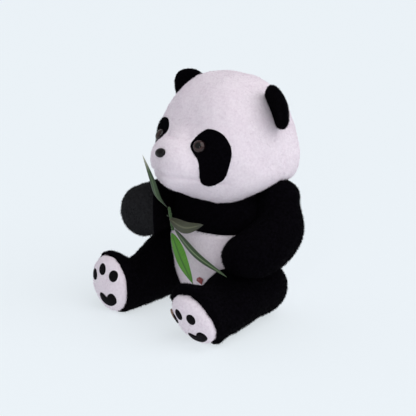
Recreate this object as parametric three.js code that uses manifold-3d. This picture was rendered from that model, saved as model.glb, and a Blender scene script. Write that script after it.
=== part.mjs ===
// Sitting plush panda with a sprig of cloth bamboo: sewn plush panels over fibre filling,
// safety eyes and nose held by washers, and limbs, head, ears and tail that flex at their seams.
// Millimetres, +Z up. The panda faces -Y and its left side is +X.
// The origin is the middle of the flat seat, on the surface that it sits on.
import * as THREE from 'three';
import { mergeVertices } from 'three/addons/utils/BufferGeometryUtils.js';
import Module from 'manifold-3d';

const wasm = await Module();
wasm.setup();

// ---------- driving dimensions ----------

const skin = 3; // plush panel, backing and pile together
const seamGap = 0.3; // between two panels sewn edge to edge
const fillGap = 0.4; // between a panel and the filling behind it
const pressGap = 0.35; // around a plastic piece set into cloth

const head = {
  centre: [0, 4, 172],
  halfWidth: 75,
  front: 66,
  back: 68,
  up: 96,
  downFront: 47,
  downBack: 38,
  planPower: 2.6,
  topPower: 2.15,
  basePower: 2.5,
  seamY: 15, // seam from ear to ear over the crown, behind the head's centre
};
const muzzle = { rise: 31.5, spread: 23, power: 3, lift: 4 };
const chin = { seamDrop: 10, slope: 9.5, backY: -48 }; // gusset under the jaw
const neck = { radius: 26, base: 121, top: 127.5, openingGap: 5 };

const eye = { azimuth: 25.5, elevation: 21, radius: 6.8, dome: 5.2, shankRadius: 2, shankLength: 11 };
const nose = { elevation: 13, radius: 4.6, stretch: 1.4, dome: 5, shankRadius: 2, shankLength: 10 };
const washer = { radius: 7, thickness: 1.2, boreGap: 0.3, depth: 3.7 }; // depth under the cloth
const patch = { thickness: 1.5, lift: 1.1, headGap: 0.15, spread: [0.55, 0.9] };

const ear = {
  base: [59, 15, 58.5], // middle of the sewn edge, from the head's centre
  edgeDirection: [0.55, 0, -0.835],
  facing: [-0.4, -0.87, -0.3], // the ears lean forward
  radius: 22,
  centreOut: 17,
  halfThickness: 5.5,
  headGap: 2.2,
};

const torso = {
  centre: [0, 4, 76],
  halfWidth: 58,
  front: 58,
  back: 51,
  up: 90,
  down: 95,
  power: 2.2,
  top: 120,
  yokeZ: 104, // black plush above, white below
  sideSeamY: 8,
  keelHalfWidth: 16, // cloth left between the two thighs
  hipGap: 0.7,
};

const tail = { centre: [0, 59, 34], radius: 12, height: 11, gap: 2.2 };

const arms = {
  left: {
    shoulder: [75, 14, 116],
    spine: [[0, 0, 0], [7, -10, -10], [9, -38, -24], [-10, -82, -31]],
    halfWidths: [19.5, 22, 24, 20],
    halfHeights: [21, 26, 26, 20],
    seamX: 3,
  },
  right: {
    shoulder: [-75, 12, 116],
    spine: [[0, 0, 0], [-5, -26, -3], [10, -62, -5], [27, -106, -5]],
    halfWidths: [19.5, 23, 26, 26],
    halfHeights: [21, 25, 27, 27],
    seamX: 5,
  },
};
const pawSeam = { reach: 41, turn: 40 }; // the right paw's charcoal end starts this far ahead of the shoulder

const legs = {
  left: {
    hip: [52, -8],
    yaw: 10.8,
    length: 100,
    rootRadius: 34,
    thighTop: 62,
    pitch: -20,
    turn: 0.5,
    roll: 20,
    toeShift: [-5, -1.5],
    heelShift: [1, -4],
  },
  right: {
    hip: [-54, -8],
    yaw: -4,
    length: 108,
    rootRadius: 34,
    thighTop: 79,
    pitch: -3,
    turn: 8,
    roll: 8,
    toeShift: [0.8, 3],
    heelShift: [2, -2.5],
  },
};
const thigh = { halfWidth: 35.5, at: 0.2, ankleHalfWidth: 31, ankleTop: 58, ankleAt: 0.72, footTop: 70 };
const sole = { halfWidth: 27, halfHeight: 34, dome: 11, height: 35, flatGap: 1 };
const pads = {
  thickness: 1.4,
  toes: [[-15.5, 9.5], [0, 17], [15.5, 9.5]],
  toeSize: [4.8, 6.6],
  heel: [0, -14],
  heelSize: [12.5, 9],
  heelNotch: 0.28,
};

const stem = { radius: 1.7, foot: [-15, -63, 97], head: [-22, -63, 123] };
const leafThickness = 1;
const leaves = {
  leaf_upper: { spine: [[-19, -68, 124], [-8, -89, 142], [-3, -100, 165], [-1, -113, 194]], width: 8 },
  leaf_side: { spine: [[-16.5, -67, 111], [20, -75, 112], [49, -73, 122]], width: 13 },
  leaf_front: { spine: [[-12, -67.5, 96], [14, -75, 75], [31, -73, 51]], width: 14 },
  leaf_long: { spine: [[-10, -65, 100.5], [49, -84, 92], [95, -80, 79]], width: 7.5 },
};
const stitch = { radius: 0.7, height: 112 };

const seamLabel = { size: [9, 7, 0.9], place: [17.5, -52, 46], turn: 14 };
const soleLoop = { width: 6, reach: 7, thickness: 1, fold: 2.2, angle: 158 };

const colours = {
  white: '#e4d9e0',
  black: '#131118',
  charcoal: '#2b2a2e',
  fill: '#f3f1ec',
  eye: '#4a2f26',
  nose: '#141013',
  washer: '#d9dade',
  leafBright: '#5f9a38',
  leafDark: '#33512a',
  leafOlive: '#5c6135',
  thread: '#2f3b26',
  label: '#8e2f33',
  loop: '#7a5b46',
};

// ---------- materials ----------

function material(colour, roughness = 0.95, metalness = 0) {
  return new THREE.MeshStandardMaterial({ color: colour, roughness, metalness });
}

const whitePlush = () => material(colours.white);
const blackPlush = () => material(colours.black);
const charcoalPlush = () => material(colours.charcoal);
const filling = () => material(colours.fill);
const plastic = (colour, roughness) => material(colour, roughness);

// ---------- general shapes ----------

const vec = (values) => new THREE.Vector3(...values);
const radians = THREE.MathUtils.degToRad;
const lerp = THREE.MathUtils.lerp;
const smooth = (x, from, to) => THREE.MathUtils.smoothstep(x, from, to);

function mesh(name, geometry, finish) {
  const result = new THREE.Mesh(geometry, finish);
  result.name = name;
  return result;
}

// Sum of tetrahedra from the origin: negative when the faces point inwards
function signedVolume(points, triangles) {
  let total = 0;
  for (let i = 0; i < triangles.length; i += 3) {
    const [a, b, c] = [points[triangles[i]], points[triangles[i + 1]], points[triangles[i + 2]]];
    total += a.dot(new THREE.Vector3().crossVectors(b, c));
  }
  return total;
}

// A closed body through a row of rings. Its first and last rings are single points,
// and the others all have the same number of points.
function ringBody(rings) {
  const points = rings.flat();
  const starts = [];
  let count = 0;
  for (const ring of rings) {
    starts.push(count);
    count += ring.length;
  }
  const triangles = [];
  for (let r = 0; r + 1 < rings.length; r += 1) {
    const near = rings[r].length;
    const far = rings[r + 1].length;
    const around = Math.max(near, far);
    for (let i = 0; i < around; i += 1) {
      const next = (i + 1) % around;
      const a = starts[r] + (near === 1 ? 0 : i);
      const b = starts[r] + (near === 1 ? 0 : next);
      const c = starts[r + 1] + (far === 1 ? 0 : next);
      const d = starts[r + 1] + (far === 1 ? 0 : i);
      if (near > 1) triangles.push(a, b, c);
      if (far > 1) triangles.push(a, c, d);
    }
  }
  if (signedVolume(points, triangles) < 0) triangles.reverse();
  const geometry = new THREE.BufferGeometry().setFromPoints(points);
  geometry.setIndex(triangles);
  return geometry;
}

function toSolid(geometry) {
  const bare = geometry.clone();
  bare.deleteAttribute('normal');
  bare.deleteAttribute('uv');
  const merged = mergeVertices(bare, 1e-4);
  return new wasm.Manifold(new wasm.Mesh({
    numProp: 3,
    vertProperties: new Float32Array(merged.attributes.position.array),
    triVerts: new Uint32Array(merged.index.array),
  }));
}

function toGeometry(solid) {
  const result = solid.getMesh();
  const geometry = new THREE.BufferGeometry();
  geometry.setAttribute('position', new THREE.BufferAttribute(result.vertProperties, 3));
  geometry.setIndex(new THREE.BufferAttribute(result.triVerts, 1));
  return geometry;
}

// A box for cutting: any side that isn't given lies far outside the object
function block({ x = [], y = [], z = [] } = {}) {
  const far = 600;
  const low = [x[0] ?? -far, y[0] ?? -far, z[0] ?? -far];
  const high = [x[1] ?? far, y[1] ?? far, z[1] ?? far];
  const size = high.map((value, axis) => value - low[axis]);
  const geometry = new THREE.BoxGeometry(...size);
  geometry.translate(...low.map((value, axis) => value + size[axis] / 2));
  return geometry;
}

const region = (sides) => toSolid(block(sides));
const below = (value) => [undefined, value - seamGap / 2];
const above = (value) => [value + seamGap / 2, undefined];

function uprightCylinder(radius, base, top, x = 0, y = 0, segments = 24) {
  const geometry = new THREE.CylinderGeometry(radius, radius, top - base, segments);
  geometry.rotateX(Math.PI / 2);
  geometry.translate(x, y, (base + top) / 2);
  return toSolid(geometry);
}

// ---------- star-shaped stuffed forms ----------

// Unit direction at a polar angle from -Y (for the head) or +Z (for the torso)
function direction(polar, turn, poleAlongY) {
  const across = Math.sin(polar);
  const along = Math.cos(polar);
  if (poleAlongY) return new THREE.Vector3(across * Math.sin(turn), -along, -across * Math.cos(turn));
  return new THREE.Vector3(across * Math.cos(turn), across * Math.sin(turn), along);
}

function starBody(reach, inset, around, along, poleAlongY = false) {
  const rings = [];
  for (let i = 0; i <= along; i += 1) {
    const polar = (Math.PI * i) / along;
    const steps = i === 0 || i === along ? 1 : around;
    const ring = [];
    for (let j = 0; j < steps; j += 1) {
      const way = direction(polar, (2 * Math.PI * j) / around, poleAlongY);
      ring.push(way.clone().multiplyScalar(reach(way) - inset));
    }
    rings.push(ring);
  }
  return ringBody(rings);
}

// Direction by compass angle (0 ahead, positive to the panda's left) and elevation, in degrees
function heading(azimuth, elevation) {
  const a = radians(azimuth);
  const e = radians(elevation);
  return new THREE.Vector3(Math.sin(a) * Math.cos(e), -Math.cos(a) * Math.cos(e), Math.sin(e));
}

function headReach(way) {
  const frontShare = smooth(-way.y, -0.25, 0.25);
  const depth = lerp(head.back, head.front, frontShare);
  const down = lerp(head.downBack, head.downFront, frontShare);
  const power = lerp(head.basePower, head.topPower, smooth(way.z, -0.25, 0.25));
  const height = way.z > 0 ? head.up : down;
  const plan = (Math.abs(way.x / head.halfWidth) ** head.planPower
    + Math.abs(way.y / depth) ** head.planPower) ** (1 / head.planPower);
  const round = (plan ** power + Math.abs(way.z / height) ** power) ** (-1 / power);
  const angle = THREE.MathUtils.radToDeg(way.angleTo(heading(0, muzzle.lift)));
  return round + muzzle.rise * Math.exp(-((angle / muzzle.spread) ** muzzle.power));
}

function torsoReach(way) {
  const depth = lerp(torso.back, torso.front, smooth(-way.y, -0.25, 0.25));
  const height = way.z > 0 ? torso.up : torso.down;
  return (Math.abs(way.x / torso.halfWidth) ** torso.power
    + Math.abs(way.y / depth) ** torso.power
    + Math.abs(way.z / height) ** torso.power) ** (-1 / torso.power);
}

const headPoint = (azimuth, elevation, lift = 0) => {
  const way = heading(azimuth, elevation);
  return way.multiplyScalar(headReach(way) + lift);
};

// Outward normal of the head's skin, from two short steps along it
function headNormal(azimuth, elevation) {
  const step = 0.5;
  const across = headPoint(azimuth + step, elevation).sub(headPoint(azimuth - step, elevation));
  const up = headPoint(azimuth, elevation + step).sub(headPoint(azimuth, elevation - step));
  return across.cross(up).normalize();
}

// ---------- plastic eyes, nose and washers ----------

// Profile of a domed button on a shank, along +Y of the lathe, grown on all sides
function buttonProfile(radius, dome, shankRadius, shankLength, grow) {
  const points = [];
  points.push(new THREE.Vector2(0, -shankLength - grow));
  points.push(new THREE.Vector2(shankRadius + grow, -shankLength - grow));
  points.push(new THREE.Vector2(shankRadius + grow, -grow));
  points.push(new THREE.Vector2(radius + grow, -grow));
  const arcSteps = 4;
  for (let i = 1; i < arcSteps; i += 1) {
    const angle = (Math.PI / 2) * (i / arcSteps);
    points.push(new THREE.Vector2((radius + grow) * Math.cos(angle), (dome + grow) * Math.sin(angle)));
  }
  points.push(new THREE.Vector2(0, dome + grow));
  return points;
}

function button(spec, grow = 0) {
  const profile = buttonProfile(spec.radius, spec.dome, spec.shankRadius, spec.shankLength, grow);
  const geometry = new THREE.LatheGeometry(profile, 12);
  if (spec.stretch) geometry.scale(spec.stretch, 1, 1);
  return geometry;
}

function washerRing(spec, grow = 0) {
  const inner = spec.shankRadius * (spec.stretch ?? 1) + washer.boreGap;
  const base = -skin - washer.depth - washer.thickness;
  const profile = [
    new THREE.Vector2(inner, base - grow),
    new THREE.Vector2(washer.radius + grow, base - grow),
    new THREE.Vector2(washer.radius + grow, base + washer.thickness + grow),
    new THREE.Vector2(inner, base + washer.thickness + grow),
    new THREE.Vector2(inner, base - grow),
  ];
  return new THREE.LatheGeometry(profile, 12);
}

// Places a lathe shape on the head: its +Y along the skin's normal, its X level
function seatOnHead(geometry, azimuth, elevation, lift) {
  const normal = headNormal(azimuth, elevation);
  const level = new THREE.Vector3(0, 0, 1).cross(normal).normalize();
  const third = new THREE.Vector3().crossVectors(level, normal);
  const frame = new THREE.Matrix4().makeBasis(level, normal, third);
  frame.setPosition(headPoint(azimuth, elevation).addScaledVector(normal, lift));
  return geometry.applyMatrix4(frame);
}

const eyeLift = patch.lift + patch.thickness + seamGap;
const noseLift = 2 * seamGap;
const fixings = [
  { name: 'eye_left', spec: eye, azimuth: eye.azimuth, lift: eyeLift, colour: colours.eye },
  { name: 'eye_right', spec: eye, azimuth: -eye.azimuth, lift: eyeLift, colour: colours.eye },
  { name: 'nose', spec: nose, azimuth: 0, lift: noseLift, colour: colours.nose },
];

function placeFixing(fixing, geometry, lift = fixing.lift) {
  return seatOnHead(geometry, fixing.azimuth, fixing.spec.elevation, lift);
}

// What the cloth and the filling give way to around each plastic piece
function fixingHollow(fixing) {
  return toSolid(placeFixing(fixing, button(fixing.spec, pressGap)));
}

function washerHollow(fixing) {
  const pocket = new THREE.CylinderGeometry(washer.radius + pressGap, washer.radius + pressGap,
    fixing.spec.shankLength, 12);
  pocket.translate(0, -skin - fixing.spec.shankLength / 2, 0);
  return toSolid(placeFixing(fixing, pocket, 0));
}

// ---------- head ----------

function patchBody(side) {
  const outline = [[18, 21.5], [29, 34.5], [45, 30], [51, 17], [46, -2], [31, -11], [26.5, 2], [25, 12]];
  const path = new THREE.CatmullRomCurve3(outline.map(([a, e]) => vec([a, e, 0])), true);
  const edge = path.getPoints(18).slice(0, 18);
  const middle = edge.reduce((sum, point) => sum.add(point), vec([0, 0, 0])).divideScalar(edge.length);
  const ringAt = (share, lift) => edge.map((point) => {
    const spot = middle.clone().lerp(point, share);
    return headPoint(side * spot.x, spot.y, lift);
  });
  const [innerShare, outerShare] = patch.spread;
  const low = patch.lift;
  const high = patch.lift + patch.thickness;
  return ringBody([
    [headPoint(side * middle.x, middle.y, high)],
    ringAt(innerShare, high),
    ringAt(outerShare, high - 0.1),
    ringAt(1, (low + high) / 2),
    ringAt(outerShare, low),
    ringAt(innerShare, low),
    [headPoint(side * middle.x, middle.y, low)],
  ]);
}

function chinRegion(grow) {
  const geometry = block({ y: [undefined, chin.backY + grow], z: [undefined, grow] });
  geometry.rotateX(radians(-chin.slope));
  geometry.translate(0, 0, -chin.seamDrop + chin.backY * Math.tan(radians(chin.slope)));
  return toSolid(geometry);
}

function buildHead() {
  const group = new THREE.Group();
  group.position.set(...head.centre);
  const baseZ = neck.top + seamGap * 2 - head.centre[2];
  const opening = uprightCylinder(neck.radius + neck.openingGap, -head.up, -10, 0, -head.centre[1]);
  const outer = toSolid(starBody(headReach, 0, 28, 18, true));
  const inner = toSolid(starBody(headReach, skin, 20, 12, true));
  let shell = outer.subtract(inner).subtract(opening);
  for (const fixing of fixings) shell = shell.subtract(fixingHollow(fixing));
  const front = shell.intersect(region({ y: below(head.seamY) }));
  const back = shell.intersect(region({ y: above(head.seamY) }));
  const face = front.subtract(chinRegion(seamGap / 2));
  group.add(mesh('face_panel', toGeometry(face), whitePlush()));
  group.add(mesh('chin_gusset', toGeometry(front.intersect(chinRegion(-seamGap / 2))), whitePlush()));
  group.add(mesh('head_back_left', toGeometry(back.intersect(region({ x: above(0) }))), whitePlush()));
  group.add(mesh('head_back_right', toGeometry(back.intersect(region({ x: below(0) }))), whitePlush()));

  let core = toSolid(starBody(headReach, skin + fillGap, 20, 12, true)).intersect(region({ z: [baseZ] }));
  for (const fixing of fixings) core = core.subtract(fixingHollow(fixing)).subtract(washerHollow(fixing));
  group.add(mesh('head_filling', toGeometry(core), filling()));

  for (const fixing of fixings) {
    group.add(mesh(fixing.name, placeFixing(fixing, button(fixing.spec)), plastic(fixing.colour, 0.12)));
    const ring = placeFixing(fixing, washerRing(fixing.spec), 0);
    group.add(mesh(`${fixing.name}_washer`, ring, plastic(colours.washer, 0.5)));
  }
  const patchClear = toSolid(starBody(headReach, -patch.headGap, 28, 18, true));
  const earClear = toSolid(starBody(headReach, -ear.headGap, 28, 18, true));
  for (const [name, side] of [['left', 1], ['right', -1]]) {
    const fixing = fixings.find((entry) => entry.name === `eye_${name}`);
    const cloth = toSolid(patchBody(side)).subtract(fixingHollow(fixing)).subtract(patchClear);
    group.add(mesh(`eye_patch_${name}`, toGeometry(cloth), blackPlush()));
    for (const [layer, sign] of [['front', 1], ['back', -1]]) {
      const half = toSolid(earHalf(side, sign)).subtract(earClear);
      group.add(mesh(`ear_${name}_${layer}`, toGeometry(half), blackPlush()));
    }
  }
  return group;
}

// ---------- ears ----------

// One of the two cloth faces of an ear: a shallow dome on the ear's mid-plane
function earHalf(side, sign) {
  const mirror = vec([side, 1, 1]);
  const along = vec(ear.edgeDirection).multiply(mirror).normalize();
  const facing = vec(ear.facing).multiply(mirror);
  facing.addScaledVector(along, -facing.dot(along)).normalize();
  const out = new THREE.Vector3().crossVectors(facing, along).multiplyScalar(side).normalize();
  const centre = vec(ear.base).multiply(mirror).addScaledVector(out, ear.centreOut);
  const profile = [[0.5, 0.94], [0.82, 0.68], [1, 0.25]];
  const around = 18;
  const ringAt = (radius, height) => {
    const ring = [];
    for (let i = 0; i < around; i += 1) {
      const angle = (2 * Math.PI * i) / around;
      ring.push(centre.clone()
        .addScaledVector(along, radius * Math.cos(angle))
        .addScaledVector(out, radius * Math.sin(angle))
        .addScaledVector(facing, sign * height));
    }
    return ring;
  };
  const rings = [[centre.clone().addScaledVector(facing, sign * ear.halfThickness)]];
  for (const [share, height] of profile) rings.push(ringAt(ear.radius * share, ear.halfThickness * height));
  rings.push(ringAt(ear.radius * 0.99, seamGap / 2));
  rings.push([centre.clone().addScaledVector(facing, (sign * seamGap) / 2)]);
  return ringBody(rings);
}

// ---------- torso ----------

// Room for a thigh and its swing, cut out of the torso's side
function hipPocket(leg) {
  const side = Math.sign(leg.hip[0]);
  const radius = leg.rootRadius + torso.hipGap;
  const top = leg.thighTop + torso.hipGap;
  const ahead = [undefined, leg.hip[1]];
  const aheadX = side > 0 ? [torso.keelHalfWidth] : [undefined, -torso.keelHalfWidth];
  const outward = side > 0 ? [leg.hip[0]] : [undefined, leg.hip[0]];
  const behind = leg.hip[1] + radius;
  return uprightCylinder(radius, -10, top, leg.hip[0], leg.hip[1], 32)
    .add(region({ x: aheadX, y: ahead, z: [undefined, top] }))
    .add(region({ x: outward, y: [undefined, behind], z: [undefined, top] }));
}

function torsoForm(inset, around, along) {
  const geometry = starBody(torsoReach, inset, around, along);
  geometry.translate(...torso.centre);
  return toSolid(geometry).intersect(region({ z: [inset, torso.top - inset] }));
}

function buildTorso() {
  const group = new THREE.Group();
  const pockets = hipPocket(legs.left).add(hipPocket(legs.right));
  const opening = uprightCylinder(neck.radius + neck.openingGap, torso.top - 2 * skin, torso.top + 10);
  const shell = torsoForm(0, 28, 14).subtract(torsoForm(skin, 20, 10)).subtract(pockets)
    .subtract(opening);
  const front = { y: below(torso.sideSeamY) };
  const back = { y: above(torso.sideSeamY) };
  const yoke = { z: above(torso.yokeZ) };
  const lower = { z: [skin + seamGap, torso.yokeZ - seamGap / 2] };
  const panel = (sides) => toGeometry(shell.intersect(region(sides)));
  group.add(mesh('yoke_front', panel({ ...front, ...yoke }), blackPlush()));
  group.add(mesh('yoke_back_left', panel({ ...back, ...yoke, x: above(0) }), blackPlush()));
  group.add(mesh('yoke_back_right', panel({ ...back, ...yoke, x: below(0) }), blackPlush()));
  group.add(mesh('belly_panel', panel({ ...front, ...lower }), whitePlush()));
  group.add(mesh('back_panel_left', panel({ ...back, ...lower, x: above(0) }), whitePlush()));
  group.add(mesh('back_panel_right', panel({ ...back, ...lower, x: below(0) }), whitePlush()));
  group.add(mesh('seat_panel', panel({ z: [undefined, skin] }), whitePlush()));
  const core = torsoForm(skin + fillGap, 20, 10).subtract(pockets);
  group.add(mesh('body_filling', toGeometry(core), filling()));

  const label = mesh('seam_label', new THREE.BoxGeometry(...seamLabel.size), material(colours.label));
  label.position.set(...seamLabel.place);
  label.rotation.set(Math.PI / 2, radians(seamLabel.turn), 0, 'ZYX');
  group.add(label);
  return group;
}

function buildNeck() {
  const height = neck.top - neck.base;
  const geometry = new THREE.CylinderGeometry(neck.radius, neck.radius, height, 24);
  geometry.rotateX(Math.PI / 2);
  const core = mesh('neck_filling', geometry, filling());
  core.position.set(0, 0, neck.base + height / 2);
  return core;
}

function buildTail() {
  const reach = (way) => (way.x ** 2 / tail.radius ** 2 + way.y ** 2 / tail.radius ** 2
    + way.z ** 2 / tail.height ** 2) ** -0.5;
  const geometry = starBody(reach, 0, 16, 8);
  geometry.translate(...tail.centre);
  const clear = starBody(torsoReach, -tail.gap, 28, 14);
  clear.translate(...torso.centre);
  return mesh('tail_cover', toGeometry(toSolid(geometry).subtract(toSolid(clear))), whitePlush());
}

// ---------- arms ----------

// A tapering stuffed tube along a smooth spine, with rounded ends
function armForm(arm, inset, around, along) {
  const curve = new THREE.CatmullRomCurve3(arm.spine.map(vec));
  const length = curve.getLength();
  const sizeAt = (sizes, t) => {
    const spot = t * (sizes.length - 1);
    const index = Math.min(Math.floor(spot), sizes.length - 2);
    return lerp(sizes[index], sizes[index + 1], spot - index);
  };
  const up = new THREE.Vector3(0, 0, 1);
  const firstRadius = arm.halfWidths[0];
  const start = -firstRadius + inset;
  const end = length - inset;
  const endRounding = sizeAt(arm.halfWidths, 1) * 0.8;
  const rings = [];
  for (let i = 0; i <= along; i += 1) {
    const share = (1 - Math.cos((Math.PI * i) / along)) / 2;
    const run = lerp(start, end, share);
    const t = THREE.MathUtils.clamp(run / length, 0, 1);
    const tangent = curve.getTangentAt(t);
    const centre = curve.getPointAt(t);
    if (run < 0) centre.addScaledVector(tangent, run);
    const side = new THREE.Vector3().crossVectors(tangent, up).normalize();
    const lift = new THREE.Vector3().crossVectors(side, tangent);
    const rootShare = Math.min(run / (firstRadius - inset), 0);
    const endShare = Math.max((run - (end - endRounding)) / endRounding, 0);
    const round = Math.sqrt(Math.max(1 - rootShare ** 2 - endShare ** 2, 0));
    if (i === 0 || i === along) {
      rings.push([centre]);
    } else {
      const wide = (sizeAt(arm.halfWidths, t) - inset) * round;
      const high = (sizeAt(arm.halfHeights, t) - inset) * round;
      const ring = [];
      for (let j = 0; j < around; j += 1) {
        const angle = (2 * Math.PI * j) / around;
        ring.push(centre.clone()
          .addScaledVector(side, wide * Math.cos(angle))
          .addScaledVector(lift, high * Math.sin(angle)));
      }
      rings.push(ring);
    }
  }
  return toSolid(ringBody(rings));
}

// Everything on one side of the seam around the right paw
function pawRegion(side) {
  const geometry = block({ y: side(-pawSeam.reach) });
  geometry.rotateZ(-radians(pawSeam.turn));
  return toSolid(geometry);
}

function buildArm(name, arm) {
  const group = new THREE.Group();
  group.position.set(...arm.shoulder);
  let cover = armForm(arm, 0, 16, 10).subtract(armForm(arm, skin, 12, 8));
  if (name === 'right') {
    group.add(mesh('paw_right_panel', toGeometry(cover.intersect(pawRegion(below))), charcoalPlush()));
    cover = cover.intersect(pawRegion(above));
  }
  const seamX = name === 'right' ? -arm.seamX : arm.seamX;
  const high = cover.intersect(region({ x: above(seamX) }));
  const low = cover.intersect(region({ x: below(seamX) }));
  const [outerHalf, innerHalf] = name === 'right' ? [low, high] : [high, low];
  group.add(mesh(`arm_${name}_outer`, toGeometry(outerHalf), blackPlush()));
  group.add(mesh(`arm_${name}_inner`, toGeometry(innerHalf), blackPlush()));
  group.add(mesh(`arm_${name}_filling`, toGeometry(armForm(arm, skin + fillGap, 12, 8)), filling()));
  return group;
}

// ---------- legs ----------

// Half-width, top, lean, turn and roll of the leg's section at a distance ahead of the hip
function legSection(leg, run) {
  const share = run / leg.length;
  const toThigh = smooth(share, 0, thigh.at);
  const toAnkle = smooth(share, thigh.at, thigh.ankleAt);
  const toFoot = smooth(share, thigh.ankleAt, 0.95);
  const rootWidth = lerp(leg.rootRadius, thigh.halfWidth, toThigh);
  const wide = lerp(rootWidth, thigh.ankleHalfWidth, toAnkle);
  const high = lerp(lerp(leg.thighTop, Math.min(thigh.ankleTop, leg.thighTop), toAnkle), thigh.footTop, toFoot);
  const bend = smooth(share, 0.5, 1);
  const lean = Math.tan(radians(leg.pitch)) * bend;
  const turn = Math.tan(radians(leg.turn)) * bend;
  const roll = radians(leg.roll) * toFoot;
  return { wide: lerp(wide, sole.halfWidth + 1, toFoot), high, lean, turn, roll };
}

function legRing(leg, run, inset, around) {
  const { wide, high, lean, turn, roll } = legSection(leg, Math.max(run, 0));
  const root = Math.min(run / (leg.rootRadius - inset), 0);
  const round = Math.sqrt(Math.max(1 - root ** 2, 0));
  const middle = high / 2;
  const squareness = 0.9; // a little fuller than an ellipse
  const ring = [];
  for (let j = 0; j < around; j += 1) {
    const angle = (2 * Math.PI * j) / around;
    const across = Math.sign(Math.cos(angle)) * Math.abs(Math.cos(angle)) ** squareness;
    const rise = Math.sign(Math.sin(angle)) * Math.abs(Math.sin(angle)) ** squareness;
    const x = across * (wide - inset) * round;
    const z = rise * (middle - inset) * round;
    const dx = x * Math.cos(roll) - z * Math.sin(roll);
    const dz = x * Math.sin(roll) + z * Math.cos(roll);
    ring.push(new THREE.Vector3(dx, -run + dx * turn + dz * lean, Math.max(middle + dz, 0)));
  }
  return ring;
}

// The stuffed leg along -Y from the hip, cut off square to its lean at the sole
function legForm(leg, inset, reach, around, along) {
  const start = -leg.rootRadius + inset;
  const rings = [[new THREE.Vector3(0, -start, leg.thighTop / 2)]];
  for (let i = 1; i <= along; i += 1) {
    const share = 1 - Math.cos((Math.PI / 2) * (i / along));
    rings.push(legRing(leg, lerp(start, leg.length, share), inset, around));
  }
  if (reach > 0) rings.push(legRing(leg, leg.length + reach, inset, around));
  rings.push([new THREE.Vector3(0, -leg.length - reach, thigh.footTop / 2)]);
  return toSolid(ringBody(rings));
}

// Height of the sole's dome over the end of the leg
function domeHeight(x, y) {
  const share = (x / sole.halfWidth) ** 2 + (y / sole.halfHeight) ** 2;
  return sole.dome * Math.sqrt(Math.max(1 - Math.min(share, 1), 0));
}

function soleFrame(leg, lift) {
  const frame = new THREE.Group();
  frame.position.set(0, -leg.length - lift, sole.height);
  const upright = new THREE.Euler(Math.PI / 2 - radians(leg.pitch), 0, radians(leg.turn), 'ZYX');
  frame.quaternion.setFromEuler(upright);
  frame.rotateZ(radians(leg.roll));
  return frame;
}

function soleBody() {
  const around = 20;
  const ringAt = (share, height) => {
    const ring = [];
    for (let i = 0; i < around; i += 1) {
      const angle = (2 * Math.PI * i) / around;
      const x = sole.halfWidth * share * Math.cos(angle);
      const y = sole.halfHeight * share * Math.sin(angle);
      ring.push(new THREE.Vector3(x, y, height ?? domeHeight(x, y)));
    }
    return ring;
  };
  return ringBody([
    [new THREE.Vector3(0, 0, sole.dome)],
    ringAt(0.35),
    ringAt(0.65),
    ringAt(0.87),
    ringAt(0.97),
    ringAt(1, 0),
    [new THREE.Vector3(0, 0, 0)],
  ]);
}

// A flat cloth pad that follows the dome; notch pulls in the middle of its upper edge
function padBody([x0, y0], [rx, ry], notch = 0) {
  const around = 14;
  const onDome = (x, y, lift) => new THREE.Vector3(x, y, domeHeight(x, y) + lift);
  const ringAt = (share, lift) => {
    const ring = [];
    for (let i = 0; i < around; i += 1) {
      const angle = (2 * Math.PI * i) / around;
      const dent = 1 - notch * Math.max(Math.sin(angle), 0) ** 6;
      ring.push(onDome(x0 + rx * share * Math.cos(angle), y0 + ry * share * dent * Math.sin(angle), lift));
    }
    return ring;
  };
  const low = seamGap;
  const high = seamGap + pads.thickness;
  const centre = (lift) => [onDome(x0, y0, lift)];
  return ringBody([centre(high), ringAt(0.85, high), ringAt(1, (low + high) / 2), ringAt(0.85, low), centre(low)]);
}

// A strip of tape folded in two and caught in the seam around the sole
function loopBody() {
  const { width, reach, thickness, fold } = soleLoop;
  const shape = new THREE.Shape();
  shape.moveTo(0, fold);
  shape.lineTo(reach - fold, fold);
  shape.absarc(reach - fold, 0, fold, Math.PI / 2, -Math.PI / 2, true);
  shape.lineTo(0, -fold);
  shape.lineTo(0, -fold + thickness);
  shape.lineTo(reach - fold, -fold + thickness);
  shape.absarc(reach - fold, 0, fold - thickness, -Math.PI / 2, Math.PI / 2, false);
  shape.lineTo(0, fold - thickness);
  shape.closePath();
  const geometry = new THREE.ExtrudeGeometry(shape, { depth: width, bevelEnabled: false, curveSegments: 6 });
  geometry.translate(0, 0, -width / 2);
  return geometry;
}

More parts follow.
